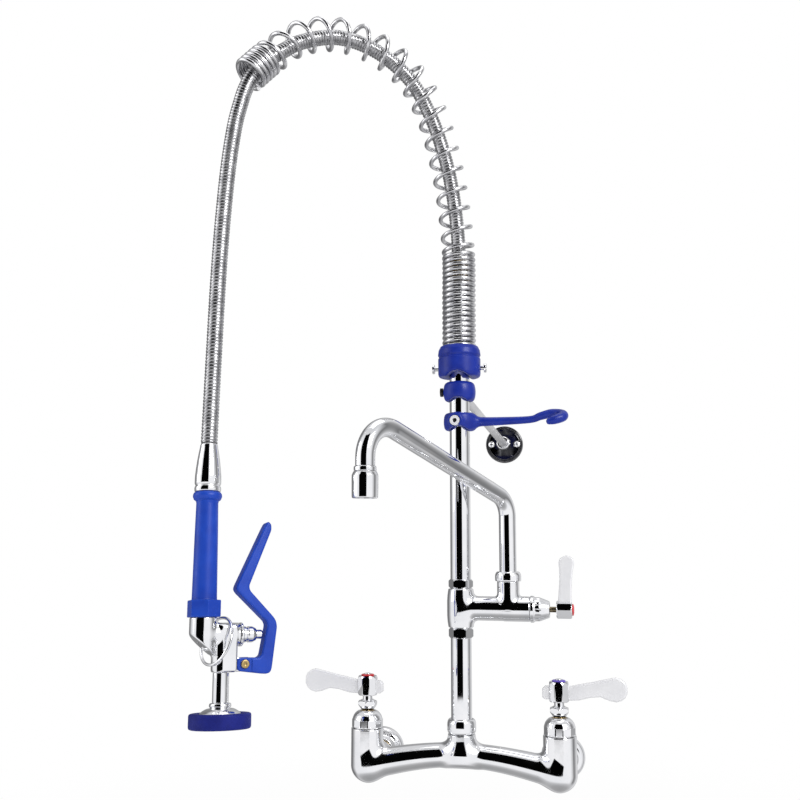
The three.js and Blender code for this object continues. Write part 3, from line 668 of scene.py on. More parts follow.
def base_casting(p):
    x, y, z = p.T
    t = np.clip(np.abs(x) / INLET_X, 0, 1)
    middle = 14 * (1 - t * t) * (1 - 0.35 * t * t)
    tilt = -14 * (2 * t + 0.7 * t - 1.4 * t ** 3) / INLET_X
    radius = 12.3 + 3.2 * t * t
    arms = np.sqrt(y ** 2 + ((z - middle) / np.sqrt(1 + tilt ** 2)) ** 2
                   + np.maximum(np.abs(x) - INLET_X + 9, 0) ** 2) - radius
    ax = np.abs(x) - INLET_X
    rho = np.hypot(ax, y)
    barrel_r, bowl = 17.2, 17.6
    barrel = np.where(z > 0, rho - barrel_r,
                      barrel_r * (np.sqrt((rho / barrel_r) ** 2 + (z / bowl) ** 2) - 1))
    boss = np.maximum(np.hypot(ax, z) - 13, np.abs(y - 17) - 17)
    hub = np.hypot(x, y) - np.interp(z, [4, 16, 24, 29, 36], [15.5, 18, 15.6, 14.4, 14.4])
    hub = smooth_max(hub, 5 - z, 4)
    made = smooth_min(smooth_min(arms, barrel, 9), smooth_max(hub, z - 36, 1), 9)
    made = smooth_min(made, boss, 4)
    top = np.where(np.abs(x) > 60, 38.0, 35.6)
    made = smooth_max(made, z - top, 1.0)
    bore = np.maximum(rho - 11, -3 - z)
    waterway = np.maximum(np.hypot(ax, z) - 6.5, -y)
    seat = np.maximum(np.hypot(x, y) - 11.3, 19.7 - z)
    return smooth_max(made, -np.minimum(np.minimum(bore, waterway), seat), 0.6)


implicit("base_casting", base_casting, (-123, -22, -21), (123, 37, 41), 1.1, RISER, "root",
         ["mixing_body"])


def add_inlet(side, frame_at):
    place = shift(frame_at[0, 3], 0, 0) @ turn(X, -90)
    boss = RISER[1, 3] + 34
    lathe(f"{side}_shank_skin", [(6.5, boss + GAP), (12, boss + GAP), (12, boss + 4),
                                 (9.5, boss + 4), (9.5, 0), (6.5, 0)], place, "root",
          [f"{side}_inlet_shank"], "brass", BRASS, soft=0.3)
    nut(f"{side}_union_nut", 6, 31.6, boss - 6.5, boss + 17, 9.9, place, "root",
        [f"{side}_coupling_nut"], slope=1.0)
    lathe(f"{side}_escutcheon", [
        (9.9, -0.05), (9.9, -16), (14, -16), (14.8, -14.5), (16, -11), (17.5, -9.6), (20, -9),
        (22.6, -6.6), (23.7, -3.5), (24, -1.4), (24, -0.05),
    ], place, "root", [f"{side}_flange"], soft=0.8)


add_inlet("hot", HOT)
add_inlet("cold", COLD)

HANDLE_Z = 71.5
BLADE_X = [6, 8, 20, 32, 42, 51, 58, 63, 67, 69.3]
BLADE_LOW = [1.2, 1.2, 1.8, 4.9, 5.8, 2.4, 1.2, 2.7, 5.8, 10.5]
BLADE_HIGH = [15.0, 15.2, 17.8, 20.3, 22.5, 24.5, 26, 24.6, 21.6, 17]


def handle_blade(p):
    x, y, z = p.T
    outline = list(zip(BLADE_X, BLADE_LOW)) + list(zip(BLADE_X, BLADE_HIGH))[::-1]
    flat = polygon_distance(x, z, outline)
    thick = 2.75 - 0.0022 * np.maximum(x - 25, 0)
    face = np.abs(y) - thick - 0.035 * np.minimum(-flat, 7.0) + 0.12
    return smooth_max(flat, face, 2.6)


def handle_stub(p):
    x, y, z = p.T
    outline = [(-6, 2.2), (-14.2, 2.2), (-17.1, 4.2), (-17.1, 12.4), (-14.2, 15.4), (-6, 15.4)]
    return smooth_max(polygon_distance(x, z, outline), np.abs(y) - 3.5, 1.6)


def add_valve(side, place, index_finish, index_slot):
    def facets(count, flats, low, high):
        """Flattens a turned blank to `count` flats between two heights."""
        def cut(angles, r, z):
            local = (angles + math.pi / count) % (2 * math.pi / count) - math.pi / count
            return np.minimum(flats / 2 / np.cos(local) - r, 0) * (low <= z <= high)
        return cut

    lathe(f"{side}_bonnet_skin", [
        (8.3, 38.35), (16.1, 38.35), (16.5, 39.4), (16.5, 46.4), (15.9, 47.2), (15.6, 48.6),
        (14.6, 51), (12.9, 53.2), (11, 54.8), (9.2, 55.6), (8.3, 55.6),
    ], place, "root", [f"{side}_bonnet"], soft=0.7, segments=288,
        wave=facets(12, 31.9, 39.8, 46.6))
    lathe(f"{side}_gland_nut", [
        (5.4, 56), (6.6, 56), (7.3, 57.6), (9.4, 60.4), (10.7, 62.2), (10.75, 64.0), (9.8, 65.3),
        (8.2, 65.9), (7.0, 66.2), (6.5, 67), (5.4, 67),
    ], place, "root", [f"{side}_packing_nut"], soft=0.5, segments=144,
        wave=facets(6, 18.6, 57, 65.8))
    control = f"{side}_control"
    lathe(f"{side}_stem_skin", [(0, 6), (3.5, 6), (3.5, 10), (5.1, 11), (5.1, 83), (0, 83)],
          place, control, [f"{side}_stem"], "brass", CHROME, soft=0.2)
    head = place @ shift(0, 0, HANDLE_Z)
    nut(f"{side}_handle_hub", 8, 19.6, 0, 20, 5.3, head, control, [f"{side}_handle"],
        chamfer=(1.6, 2.6), slope=1.2)
    # The blades are in the pale satin that paints the chrome's white reflection.
    implicit(f"{side}_handle_blade", handle_blade, (5, -5, -1), (72, 5, 29), 0.8, head, control,
             finish=SATIN_PAINTED_REFLECTION)
    implicit(f"{side}_handle_stub", handle_stub, (-19, -5, 0), (-5, 5, 18), 0.8, head, control,
             finish=SATIN_PAINTED_REFLECTION)
    lathe(f"{side}_index_button", [
        (0, 20.3), (7.1, 20.3), (7.1, 20.9), (6.7, 21.5), (5.2, 21.9), (2.4, 22.1), (0, 22.15),
    ], head, control, [f"{side}_index"], index_slot, index_finish, soft=0.3)
    lathe(f"{side}_index_centre", [(0, 21.6), (3.5, 21.6), (3.4, 22.5), (2.6, 22.8), (0, 22.9)],
          head, control, soft=0.3, segments=40)


add_valve("hot", HOT, RED, "red_index")
add_valve("cold", COLD, VIOLET, "violet_index")

# ---- risers and add-on valve ----
lathe("riser_union", [
    (11.3, 35.9), (13.6, 35.9), (14.6, 37.4), (15.1, 39.4), (15.15, 44), (15.0, 47.2),
    (14.2, 49.6), (12.8, 50.8), (11.3, 50.8),
], RISER, "root", ["riser_nut"], soft=1.6)
lathe("riser_lower", [(9, 20), (RISER_R, 20), (RISER_R, 152.3), (9, 152.3)], RISER, "root",
      ["lower_riser"], soft=0.3)
lathe("riser_upper", [(9, 176.9), (RISER_R, 176.9), (RISER_R, 522), (9, 522)], RISER, "root",
      ["upper_riser"], soft=0.3)
nut("lower_union_nut", 6, 22.8, 133.3, 144, RISER_FIT, RISER, "root", ["addon_lower_nut"],
    facing=31, slope=1.1)
nut("upper_union_nut", 6, 22.8, 185.2, 194.9, RISER_FIT, RISER, "root", ["addon_upper_nut"],
    facing=31, slope=1.1)


def addon_casting(p):
    x, y, z = p.T
    rho = np.hypot(x, y)
    barrel = rho - np.interp(z, [144.3, 151, 157, 172, 178, 184.9],
                             [13.3, 14.3, 14.7, 14.7, 14.3, 13.3])
    barrel = smooth_max(barrel, np.abs(z - 164.6) - 20.3, 1.2)
    run = smooth_max(np.hypot(y, z - ADDON_Z) - 12.6 - 0.4 * (np.abs(x - 60) < 14), x - 73.5, 1.2)
    run = smooth_max(run, -x, 1)
    branch = np.hypot(x - SPOUT_X, y)
    branch = branch - np.interp(z, [164, 176, 181, 193], [12.6, 12.4, 11.7, 11.7])
    branch = smooth_max(branch, np.maximum(z - 193, ADDON_Z - z), 0.8)
    made = smooth_min(smooth_min(barrel, run, 5), branch, 3)
    bores = np.minimum(rho - 11.3 + 3.3 * (np.abs(z - 164.6) < 12.2),
                       np.maximum(np.hypot(x - SPOUT_X, y) - 9.4, 177 - z))
    bores = np.minimum(bores, np.maximum(np.hypot(y, z - ADDON_Z) - 9.5, 44 - x))
    return smooth_max(made, -bores, 0.5)


implicit("addon_casting", addon_casting, (-17, -17, 142), (76, 17, 195), 0.9, RISER, "root",
         ["addon_body"])
lathe("addon_bonnet_skin", [
    (7.5, 73.8), (13.6, 73.8), (13.8, 75), (13.8, 77.2), (12.5, 78.6), (12.4, 83.4), (11.4, 86),
    (9.9, 90), (8.6, 93.4), (7.8, 94), (3.2, 94), (3.2, 86.4), (7.5, 86.4),
], ADDON_ALONG, "root", ["addon_bonnet"], soft=0.6, segments=72,
    wave=lambda a, r, z: np.where((79 < z) & (z < 84) & (r > 12), -0.5 * (np.cos(6 * a) ** 6), 0))
lathe("addon_stem_skin", [(0, 60), (2.9, 60), (2.9, 112), (0, 112)], ADDON_ALONG,
      "addon_control", ["addon_stem"], "brass", AGED_BRASS, soft=0.3)


def addon_lever(p):
    x, y, z = p.T
    half = np.interp(z, [0, 5, 18, 30, 42, 48.5, 53, 56.6],
                     [7.1, 7.1, 6.8, 6.5, 7.3, 8.2, 7.2, 3.4])
    middle = 109.2 + z * 0.06
    side = smooth_max(np.abs(x - middle) - half, z - 56.4, 6)
    return smooth_max(smooth_max(side, np.abs(y) - 2.55, 2.4), 6 - z, 0.6)


implicit("addon_handle_blade", addon_lever, (99, -5, 4), (123, 5, 59), 0.7, ADDON,
         "addon_control", finish=SATIN_PAINTED_REFLECTION)
nut("addon_handle_hub", 8, 17.2, 101, 116.8, 3.2, ADDON_ALONG, "addon_control",
    ["addon_handle"], chamfer=(2, 2), slope=0.9, facing=22.5)
lathe("addon_index_button", [
    (0, 117.1), (6.1, 117.1), (6.1, 117.9), (5.6, 118.6), (3, 119.15), (0, 119.3),
], ADDON_ALONG, "addon_control", ["addon_index"], "red_index", RED, soft=0.3)

# ---- spout ----
lathe("spout_gland", [
    (9.4, 193.3), (13.4, 193.3), (13.8, 194.4), (13.8, 199.6), (13.0, 201.8), (11.8, 203.3),
    (9.4, 203.3),
], SPOUT, "root", ["spout_swivel_nut"], soft=0.8, segments=144,
    wave=lambda a, r, z: 0.08 * np.cos(a * 24) * (r > 13.6) * (195 < z) * (z < 199))
REACH = 221.5


def arc(cx, cz, radius, start, end, steps):
    a = np.radians(np.linspace(start, end, steps + 1))
    return [(cx + radius * math.cos(t), 0, cz + radius * math.sin(t)) for t in a]


def build_spout():
    route = [(0, 0, z) for z in np.linspace(177.5, 261, 30)]
    route += arc(24, 261, 24, 180, 109, 26)[1:]
    bend = arc(REACH - 30, 310.5, 30, 109, 0, 36)
    start, end = np.array(route[-1]), np.array(bend[0])
    route += [tuple(start + (end - start) * t) for t in np.linspace(0, 1, 40)[1:-1]]
    route += bend + [(REACH, 0, 303)]
    tube("spout_pipe", route, 9.08, SPOUT, "spout", ["spout_tube"], sides=56)
    down = SPOUT @ shift(REACH, 0, 0)
    lathe("spout_collar", [(8.6, 298.4), (10.3, 298.4), (10.4, 299), (10.4, 301.6), (9.9, 302.6),
                           (8.6, 302.6)], down, "spout", soft=0.4)
    lathe("aerator_shell", [
        (8.4, 273.6), (11.3, 273.6), (11.9, 274.4), (12.0, 276), (12.15, 292), (12.1, 294.4),
        (11.2, 296.6), (10.4, 298), (9.2, 298.2), (9.2, 288), (8.4, 287),
    ], down, "spout", ["aerator_housing"], soft=0.5, segments=144,
        wave=lambda a, r, z: 0.05 * np.cos(a * 40) * (r > 11.9) * (277 < z) * (z < 281))


build_spout()


def perforated(name, radius, z, thickness, holes, hole_r, place, body):
    """A disc with round holes at the given places."""
    def solid(p):
        d = smooth_max(radial(p) - radius, np.abs(p[:, 2] - z) - thickness / 2, 0.3)
        for hx, hy in holes:
            d = smooth_max(d, hole_r - np.hypot(p[:, 0] - hx, p[:, 1] - hy), 0.3)
        return d
    edge = radius + 1.5
    implicit(name, solid, (-edge, -edge, z - thickness - 1), (edge, edge, z + thickness + 1), 0.55,
             place, body, finish=CHROME)


def rings_of(counts, spacing):
    turns = [(spacing * k, 2 * math.pi * i / n) for k, n in enumerate(counts, 1) for i in range(n)]
    return [(r * math.cos(a), r * math.sin(a)) for r, a in turns]


perforated("aerator_screen", 8.2, 276.4, 1.0, [(0, 0), *rings_of([6, 12], 2.7)], 0.8,
           SPOUT @ shift(REACH, 0, 0), "spout")

# ---- hook, bracket and spring clamps ----
HOOK_Z = 364.4
HOOK_ARM = [
    ((8, 0, 0.4), 7.4), ((21, 0, 0), 5.3), ((45, 0, 0.2), 4.5), ((77, -0.5, 1.2), 3.9),
    ((88, -2, 4.4), 4.3), ((99, -4, 6.6), 4.9), ((108, -7, 5.8), 5.2), ((112.6, -13, 3.4), 5.4),
    ((111, -20, 0.4), 5.2), ((104, -24, -2.4), 4.8), ((98.5, -25, -4.2), 3.4),
]


def collar_distance(p, radius, z0, z1, belly, edge):
    z = p[:, 2]
    middle, half = (z0 + z1) / 2, (z1 - z0) / 2
    bulge = belly * (1 - np.clip(np.abs(z - middle) / half, 0, 1.2) ** 2)
    return smooth_max(radial(p) - radius + belly - bulge, np.abs(z - middle) - half, edge)


def arch_cut(p, bottom, rise, radius=12.6):
    return np.hypot(p[:, 0], p[:, 2] - (bottom - radius + rise)) - radius


def hook_solid(p):
    body = collar_distance(p, 17.5, 354.8, 374, 1.6, 3.6)
    arm = limb(p - np.array([0, 0, HOOK_Z]), HOOK_ARM)
    a = math.radians(-100)
    q = p - np.array([0, 0, HOOK_Z + 0.2])
    out = q[:, 0] * math.cos(a) + q[:, 1] * math.sin(a)
    across = np.hypot(-q[:, 0] * math.sin(a) + q[:, 1] * math.cos(a), q[:, 2])
    lug = smooth_max(across - 7.9, np.abs(out - 8.6) - 8.6, 1.6)
    made = smooth_min(smooth_min(body, arm, 7), lug, 4)
    made = smooth_max(made, -arch_cut(p, 354.8, 4.6), 1.6)
    made = smooth_max(made, -(radial(p) - RISER_FIT), 0.6)
    pocket = np.minimum(np.maximum(across - 5.9, 14.2 - out), np.maximum(across - 3, 8 - out))
    return smooth_max(made, -pocket, 0.6)


implicit("hook_moulding", hook_solid, (-21, -32, 352), (119, 20, 377), 0.9, RISER, "root",
         ["hook_clamp"], "blue_coat", BLUE)


def cap_screw(name, place, body, nodes, slot, finish, radius, height, shank, length, socket):
    """Its shank points along the frame's -Z from the underside of the head at z = 0."""
    lathe(name, [
        (0, -length), (shank, -length), (shank, 0), (radius, 0), (radius, height),
        (socket, height), (socket, height * 0.35), (0, height * 0.35),
    ], place, body, nodes, slot, finish, soft=0.35, segments=48)


hook_aim = RISER @ shift(0, 0, HOOK_Z + 0.2) @ turn(Z, -10) @ turn(X, 90)
# The set screw head is in the pale satin that paints a white reflection in place of chrome.
cap_screw("hook_set_screw", hook_aim @ shift(0, 0, 14.5), "root", ["hook_screw"], "chrome",
          SATIN_PAINTED_REFLECTION, 5.4, 4.3, 2.6, 2.6, 2.5)
# A dark disc laid in the screw's socket: painted shade in the recess.
lathe("hook_screw_socket_shade", [(0, 15.8), (2.45, 15.8), (2.45, 16.2), (0, 16.2)], hook_aim, "root",
      (), "black_steel", SOCKET_SHADE_PAINT, soft=0.1, segments=24)


def rod_distance(p, radius, start, end):
    """Distance to a bar on the bracket rod's line, in the riser's frame."""
    axis = (ROD_END - ROD_START) / np.linalg.norm(ROD_END - ROD_START)
    q = p - ROD_START
    t = q @ axis
    r = np.linalg.norm(q - t[:, None] * axis, axis=1)
    return smooth_max(r - radius, np.abs(t - (start + end) / 2) - (end - start) / 2, 1.0)


def bracket_solid(p):
    body = collar_distance(p, 17.8, 386.9, 408.6, 2.2, 4.0)
    made = smooth_min(body, rod_distance(p, 8.2, -6, 9), 3)
    made = smooth_max(made, -arch_cut(p, 386.9, 4.2), 1.6)
    made = smooth_max(made, -(radial(p) - RISER_FIT), 0.6)
    made = smooth_max(made, -rod_distance(p, 5.1, -0.3, 60), 0.5)
    side = np.maximum(np.hypot(p[:, 1], p[:, 2] - 397.8) - 2.8, p[:, 0] + 5)
    return smooth_max(made, -side, 0.5)


implicit("bracket_moulding", bracket_solid, (-20, -20, 385), (20, 25, 411), 0.8, RISER, "root",
         ["bracket_clamp"], "blue_coat", BLUE)
cap_screw("bracket_set_screw", RISER @ shift(-18.2, 0, 397.8) @ turn(Y, -90), "root",
          ["bracket_screw"], "black_steel", BLACK_STEEL, 4.8, 3.1, 2.4, 6, 1.5)
lathe("wall_rod", [(0, 0), (4.8, 0), (4.8, ROD_LENGTH), (0, ROD_LENGTH)], ROD, "root",
      ["bracket_rod"], "rod_steel", ROD_STEEL, soft=0.5, segments=48)
lathe("wall_rod_boss", [
    (5.1, ROD_LENGTH - 15.4), (7.6, ROD_LENGTH - 15.4), (8.8, ROD_LENGTH - 14.2),
    (9.5, ROD_LENGTH - 12), (9.5, ROD_LENGTH - 8.5), (5.1, ROD_LENGTH - 8.5),
], ROD, "root", ["bracket_boss"], soft=0.6)
PLATE = RISER @ shift(ROD_END[0], ROD_END[1] + 2, ROD_END[2]) @ turn(X, 90)
PLATE_SCREWS = {"left": -17.5, "right": 17.5}


def plate_solid(p):
    d = smooth_max(radial(p) - 25.35, np.abs(p[:, 2] - 4.25) - 4.25, 2.2)
    rim = np.maximum(np.abs(radial(p) - 21.8) - 0.5, 8.0 - p[:, 2])
    d = smooth_max(d, -rim, 0.5)
    for side in PLATE_SCREWS.values():
        hole = np.hypot(p[:, 0] - side, p[:, 1]) - 2.6 - np.maximum(p[:, 2] - 6.4, 0)
        d = smooth_max(d, -hole, 0.3)
    return smooth_max(d, -np.maximum(radial(p) - 5.3, 1.2 - p[:, 2]), 0.4)


# The plate's dark chrome is a painted dark reflection.
implicit("wall_plate", plate_solid, (-28, -28, -1.5), (28, 28, 10.5), 0.8, PLATE, "root",
         ["bracket_flange"], finish=CHROME_PAINTED_DARK)


def plate_screw_solid(p):
    x, y, z = np.abs(p[:, 0]), np.abs(p[:, 1]), p[:, 2]
    dome = np.linalg.norm(p - np.array([0, 0, 2.6]), axis=1) - 6.6
    cross = np.minimum(np.maximum(x - 0.55, y - 2.5), np.maximum(y - 0.55, x - 2.5))
    head = smooth_max(dome, 6.6 - z, 0.4)
    head = smooth_max(head, -np.maximum(cross, 8.1 - z), 0.2)
    return np.minimum(head, smooth_max(radial(p) - 2.3, np.abs(z - 3.5) - 3.5, 0.3))


for label, side in PLATE_SCREWS.items():
    implicit(f"wall_plate_screw_{label}", plate_screw_solid, (-6.5, -6.5, -0.6),
             (6.5, 6.5, 10.2), 0.4, PLATE @ shift(side, 0, 0.3), "root", finish=CHROME)

SCREW_Z = 424


def spring_clamp_solid(p):
    r, z = radial(p), p[:, 2]
    skirt = np.interp(z, [414, 418, 434.5, 436.2, 438.6, 444, 448, 450.4],
                      [22.6, 23.4, 23.4, 22.2, 23.6, 22.9, 20.9, 18.4])
    made = smooth_max(r - skirt, np.abs(z - 432.2) - 18.2, 2.6)
    made = smooth_max(made, -arch_cut(p, 414.2, 5.0, 15.5), 2.4)
    made = smooth_max(made, -(r - RISER_FIT), 0.6)
    made = smooth_max(made, -np.maximum(r - 19.7, 433.2 - z), 0.6)
    for sign in (-1, 1):
        made = smooth_max(made, -np.maximum(np.hypot(p[:, 1], z - SCREW_Z) - 2.6, -sign * p[:, 0]),
                          0.5)
    return made


implicit("spring_clamp_moulding", spring_clamp_solid, (-26, -26, 412), (26, 26, 453), 0.9, RISER,
         "root", ["spring_clamp"], "blue_coat", BLUE)
for label, angle in (("right", 90), ("left", -90)):
    cap_screw(f"thumb_screw_{label}", RISER @ shift(0, 0, SCREW_Z) @ turn(Y, angle)
              @ shift(0, 0, 27.6), "root", [f"clamp_screw_{label}"], "chrome", CHROME,
              5.15, 2.3, 2.25, 16, 1.2)

# ---- spray valve ----
lathe("ferrule_skin", [
    (5.0, 281.1), (11.6, 281.1), (12.3, 282.0), (12.5, 284.6), (12.2, 286.2), (11.3, 287.3),
    (12.0, 288.3), (12.4, 289.6), (12.3, 296), (11.7, 303), (10.6, 312), (9.5, 319),
    (8.5, 324.4), (8.35, 326.4), (7.6, 327.8), (5.0, 327.8),
], SPRAY, "spray", ["hose_ferrule"], soft=0.7)


def grip_solid(p):
    r, z = radial(p), p[:, 2]
    a = np.arctan2(p[:, 1], p[:, 0])
    shaft = r - np.interp(z, [179, 187, 240, 270, 272.4, 274, 276.8, 279, 280.8],
                          [11.6, 11.45, 10.8, 10.25, 10.5, 12.6, 13.7, 13.4, 12.4])
    shaft = smooth_max(shaft, np.maximum(z - 280.8, 179 - z), 0.8)
    # The six-sided collar below the shaft turns one flat to the lever.
    local = (a + math.pi / 6) % (math.pi / 3) - math.pi / 6
    collar = smooth_max(r * np.cos(local) - 13.7, np.abs(z - 173.3) - 7.7, 0.8)
    made = smooth_min(shaft, collar, 0.8)
    return smooth_max(made, -(r - 6), 0.5)


implicit("grip_moulding", grip_solid, (-17, -17, 163), (17, 17, 283), 0.85, SPRAY, "spray",
         ["grip"], "blue_coat", GRIP_BLUE)


def spray_solid(p):
    x, y, z = p.T
    neck = smooth_max(radial(p) - 12.8, z - 165.3, 0.8)
    below = ((x + 13.7) * 16.1 + (z - 150.8) * 18.5) / 24.5
    neck = smooth_max(neck, -below, 1.6)
    neck = smooth_max(neck, 132 - z, 0.5)
    front = block(p, (8.1, -11.1, 116.4), (30.1, 11.1, 159), 3.2)
    # The casting's back corners are round, which leaves the hanging ring its room.
    rounding = (np.hypot(np.minimum(x - 19.1, 0) / 11, y / 11.1) - 1) * 11
    front = smooth_max(front, rounding, 0.8)
    side = smooth_max(np.hypot(y, z - PLUNGER_Z) - 10.7, np.abs(x - 15.5) - 17.5, 1.2)
    lug = block(p, (22, -3.4, 116.8), (42.4, 3.4, 129.6), 1.0)
    made = smooth_min(smooth_min(neck, front, 3.0), side, 2.4)
    made = np.minimum(made, lug)
    bores = np.minimum(np.maximum(radial(p) - 6, PLUNGER_Z - z),
                       np.maximum(np.hypot(y, z - PLUNGER_Z) - 7, -4 - x))
    bores = np.minimum(bores, np.maximum(np.hypot(x - OUTLET_X, y) - 5.5, z - PLUNGER_Z))
    bores = np.minimum(bores, np.hypot(x - PIVOT[0], z - PIVOT[1]) - 2.5)
    return smooth_max(made, -bores, 0.4)


implicit("spray_casting", spray_solid, (-16, -14, 114), (45, 14, 168), 0.8, SPRAY, "spray",
         ["spray_body"])
lathe("spray_bonnet_skin", [
    (3.2, 21), (6.7, 21), (6.7, 33.3), (10.6, 33.3), (11.1, 33.9), (11.1, 35.4), (10.4, 36.1),
    (3.2, 36.1),
], SIDEWAYS, "spray", ["spray_bonnet"], soft=0.4, segments=72,
    wave=lambda a, r, z: np.where(r > 10, -0.45 * np.abs(np.cos(3 * a)) ** 8, 0))
lathe("spray_gland_nut", [
    (4.6, 36.5), (6.8, 36.5), (7.3, 37.2), (7.3, 39.4), (6.6, 40.2), (6.6, 41), (7.3, 41.8),
    (7.3, 45.6), (6.6, 47.2), (5.6, 49.2), (4.6, 49.2),
], SIDEWAYS, "spray", ["spray_packing_nut"], soft=0.4)
lathe("plunger_rod", [
    (0, 10), (5.8, 10), (5.8, 13), (2.8, 13.4), (2.8, 42), (4.15, 43), (4.2, 54.4), (3.3, 55.8),
    (0, 56.2),
], SIDEWAYS, "plunger", ["spray_plunger"], "brass", CHROME, soft=0.4)


def return_spring():
    turns = 4
    t = np.linspace(0, 1, turns * 28 + 1)
    a = 2 * math.pi * turns * t
    wire = np.stack([4.7 * np.cos(a), 4.7 * np.sin(a), -2.6 + 11.2 * t], 1)
    made = tube("return_spring_wire", wire, 0.68, SIDEWAYS, "spray", ["return_spring"],
                "spring_steel", SPRING_STEEL, sides=8)
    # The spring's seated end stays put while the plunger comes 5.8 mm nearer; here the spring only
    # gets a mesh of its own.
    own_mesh(made)


return_spring()
LEVER = [
    (32.8, 117.2), (57.9, 114), (62.1, 114.9), (63.9, 118.4), (68.7, 157), (67.4, 162.4),
    (64.5, 166.2), (41.9, 189.7), (40.9, 193.8), (62, 247.2), (61.5, 252.5), (58.9, 255),
    (56.6, 253.6), (54.4, 249.6), (29, 194.8), (28, 191.3), (29.6, 188.2), (57.7, 161.6),
    (58.8, 158.1), (53.8, 131.2), (51.2, 129), (37.1, 129.4), (32.8, 129.3), (30.7, 126.7),
    (30.7, 119.4),
]


def lever_solid(p):
    x, y, z = p.T
    flat = polygon_distance(x, z, soften(LEVER, 4.0, True, 3))
    made = smooth_max(flat, np.abs(y) - 7, 2.4)
    # The foot is forked round the casting's lug, and its outer faces are stepped in.
    fork = np.maximum(np.maximum(x - 45.2, np.abs(y) - 3.7), z - 134)
    pin = np.hypot(x - PIVOT[0], z - PIVOT[1]) - 2.5
    step = np.maximum(np.maximum(x - 44.6, 6.5 - np.abs(y)), z - 134)
    made = smooth_max(made, -step, 0.3)
    return smooth_max(made, -np.minimum(fork, pin), 0.5)


implicit("lever_moulding", lever_solid, (27, -9, 111), (71, 9, 258), 0.8, SPRAY, "lever",
         ["spray_lever"], "blue_coat", GRIP_BLUE)
pin_frame = SPRAY @ shift(PIVOT[0], 0, PIVOT[1]) @ turn(X, 90)
lathe("lever_pin", [
    (0, -7.2), (2.2, -7.2), (2.2, 7.2), (4.1, 7.2), (4.05, 8.3), (3.5, 8.9), (1.4, 8.9),
    (1.4, 8.0), (0, 8.0),
], pin_frame, "spray", ["lever_screw"], "brass", BRASS, soft=0.3, segments=40)


def hanging_ring():
    lean = np.array([0.314, 0, 0.949])
    lean /= np.linalg.norm(lean)
    normal = np.cross(lean, (0.307, -0.946, -0.108))
    normal /= np.linalg.norm(normal)
    across = np.cross(normal, lean)
    a = np.linspace(0, 2 * math.pi, 96, endpoint=False)[:, None]
    middle, radius = np.array([12.4, 0, 144.2]), 21.9
    loop = middle + radius * (np.cos(a) * across + np.sin(a) * lean)
    tube("hanging_ring_wire", loop, 1.38, SPRAY, "ring", ["hanger_ring"], "spring_steel",
         CHROME, sides=16, loop=True)


hanging_ring()
lathe("outlet_tube", [
    (4.2, 90.2), (7.4, 90.2), (7.4, 116.1), (5.2, 116.1), (5.2, 123), (4.2, 123),
], OUTLET, "spray", ["nozzle_tube"], soft=0.3)
lathe("outlet_dome", [
    (4.2, 71), (19.2, 71), (19.2, 79.6), (18.4, 81.2), (16.4, 82.9), (13.6, 84.5), (11.6, 85.2),
    (9.2, 85.5), (9.0, 86.0), (9.9, 86.6), (10.05, 88.2), (9.6, 89.5), (8.6, 89.9), (4.2, 89.9),
], OUTLET, "spray", ["nozzle_face"], soft=0.5)
lathe("bumper_ring", [
    (19.6, 67.5), (26.4, 67.5), (27.7, 68.2), (28.1, 69.6), (28.1, 79.2), (27.7, 80.6),
    (26.4, 81.2), (20.6, 81.2), (19.6, 80),
], OUTLET, "spray", ["bumper"], "blue_rubber", BLUE_RUBBER, soft=0.8, segments=96)
perforated("outlet_plate", 19.1, 70.4, 1.0, rings_of([6, 12, 18], 5.2), 0.9, OUTLET, "spray")

# ---- CAD nodes that stay, with better materials ----
for name, finish in {
    "hot_cartridge": BRASS, "cold_cartridge": BRASS, "addon_cartridge": BRASS,
    "hose_coupling": BRASS, "spout_o_ring": BLACK_RUBBER,
}.items():
    node = frame["nodes"][name]
    node.data.materials.clear()
    node.data.materials.append(finish)


# ---- stage and light ----
FLOOR_DROP = 0.28


def add_stage():
    finish = material("floor", (0.90, 0.90, 0.90), (0.94, 0.94, 0.94), 0, (0.7, 0.85), 3)
    tree = finish.node_tree
    # The floor fades into the white backdrop away from the object.
    distance = add_node(tree, "VectorMath", "Value", {0: add_node(tree, "TexCoord", "Object")},
                        "LENGTH")
    fade = add_node(tree, "MapRange", "Result", {
        "From Min": 0.2, "From Max": 1.6, "To Min": 0.85, "To Max": 1.0, "Value": distance,
    }, "SMOOTHSTEP")
    glow = add_node(tree, "Emission", "Emission", {"Color": (1, 1, 1, 1)})
    plain = tree.nodes["Principled BSDF"].outputs["BSDF"]
    mixed = add_node(tree, "MixShader", "Shader", {"Fac": fade, 1: plain, 2: glow})
    tree.links.new(mixed, tree.nodes["Material Output"].inputs["Surface"])
    low, reach = CAD_BOX[0].z - FLOOR_DROP, 12
    mesh = bpy.data.meshes.new("floor")
    mesh.from_pydata([(-reach, -reach, low), (reach, -reach, low), (reach, reach, low),
                      (-reach, reach, low)], [], [(0, 1, 2, 3)])
    mesh.materials.append(finish)
    floor = add_object("floor", mesh)
    floor.visible_glossy = False


def add_light(name, position, aim, size, power):
    data = bpy.data.lights.new(name, "AREA")
    data.shape = "RECTANGLE"
    data.size, data.size_y = size
    data.energy = power
    placed = pointing(position, np.array(position) - np.array(aim))
    add_object(name, data).matrix_world = Matrix(placed.tolist())


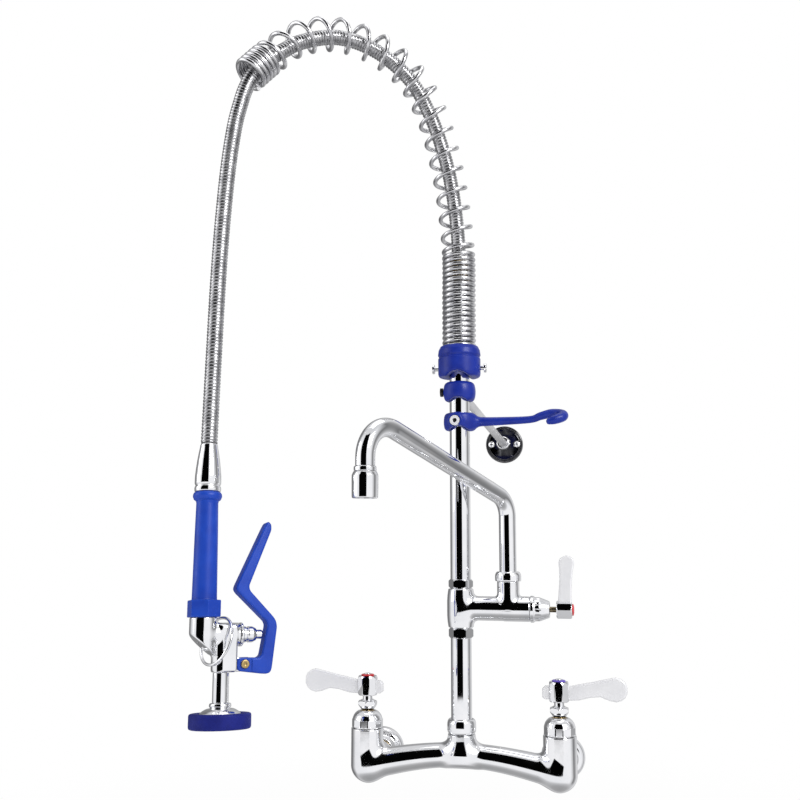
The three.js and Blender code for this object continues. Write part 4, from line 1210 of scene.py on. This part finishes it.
def add_world():
    """White to the camera, even to diffuse rays, a room with a dark opening to glossy rays."""
    world = bpy.data.worlds.new("room")
    bpy.context.scene.world = world
    world.use_nodes = True
    tree = world.node_tree
    place = add_node(tree, "TexCoord", "Generated")
    x, y, z = add_node(tree, "SeparateXYZ", "X", {"Vector": place}).node.outputs

    def compute(kind, *values):
        return add_node(tree, "Math", "Value", dict(enumerate(values)), kind)

    # The reflected room, by azimuth from the user's side and by height.
    azimuth = compute("ARCTAN2", x, compute("MULTIPLY", y, -1.0))
    height = compute("ARCSINE", z)

    def band(value, middle, half, soft):
        away = compute("ABSOLUTE", compute("SUBTRACT", value, math.radians(middle)))
        return add_node(tree, "MapRange", "Result", {
            "From Min": math.radians(half + soft), "From Max": math.radians(half - soft),
            "Value": away,
        }, "SMOOTHSTEP")

    def stops(value, low, high, pairs):
        turned = compute("DIVIDE", compute("SUBTRACT", value, math.radians(low)),
                        math.radians(high - low))
        return add_ramp(tree, turned, [((degrees - low) / (high - low), (grey, grey, grey * 1.015))
                                       for degrees, grey in pairs])

    def blend(factor, a, b):
        return add_node(tree, "Mix", "Result", {"Factor": factor, "A": a, "B": b})

    opening = compute("MULTIPLY", band(azimuth, -6, 33, 1.5), band(height, 24.6, 35.4, 0.6))
    walls = stops(azimuth, -180, 180, [
        (-180, 0.5), (-142, 0.24), (-118, 0.17), (-98, 0.5), (-80, 0.92), (0, 0.96), (74, 0.96),
        (92, 0.6), (104, 0.2), (118, 0.38), (142, 0.78), (180, 0.5),
    ])
    cards = stops(height, -90, 90, [
        (-90, 0.34), (-64, 0.40), (-46, 0.62), (-28, 0.9), (45, 0.74), (90, 0.72),
    ])
    edge = compute("MAXIMUM", band(height, 90, 42, 10), band(height, -90, 48, 9))
    shade = blend(opening, blend(edge, walls, cards), (0.001, 0.001, 0.001, 1))
    shade = blend(add_node(tree, "LightPath", "Is Diffuse Ray"), shade, (0.55, 0.55, 0.55, 1))
    shade = blend(add_node(tree, "LightPath", "Is Camera Ray"), shade, (1, 1, 1, 1))
    background = tree.nodes["Background"].inputs
    tree.links.new(shade, background["Color"])
    background["Strength"].default_value = 1.0


add_stage()
add_world()
add_light("key", (1.6, -1.5, 1.6), (0, -0.1, 0.4), (1.0, 1.0), 34)
add_light("fill", (-1.9, -0.8, 0.9), (0, -0.1, 0.4), (0.8, 1.4), 5)
add_light("top", (0.1, 0.1, 2.4), (0, -0.1, 0.3), (1.4, 1.4), 7)
bpy.context.scene.view_settings.view_transform = "Standard"
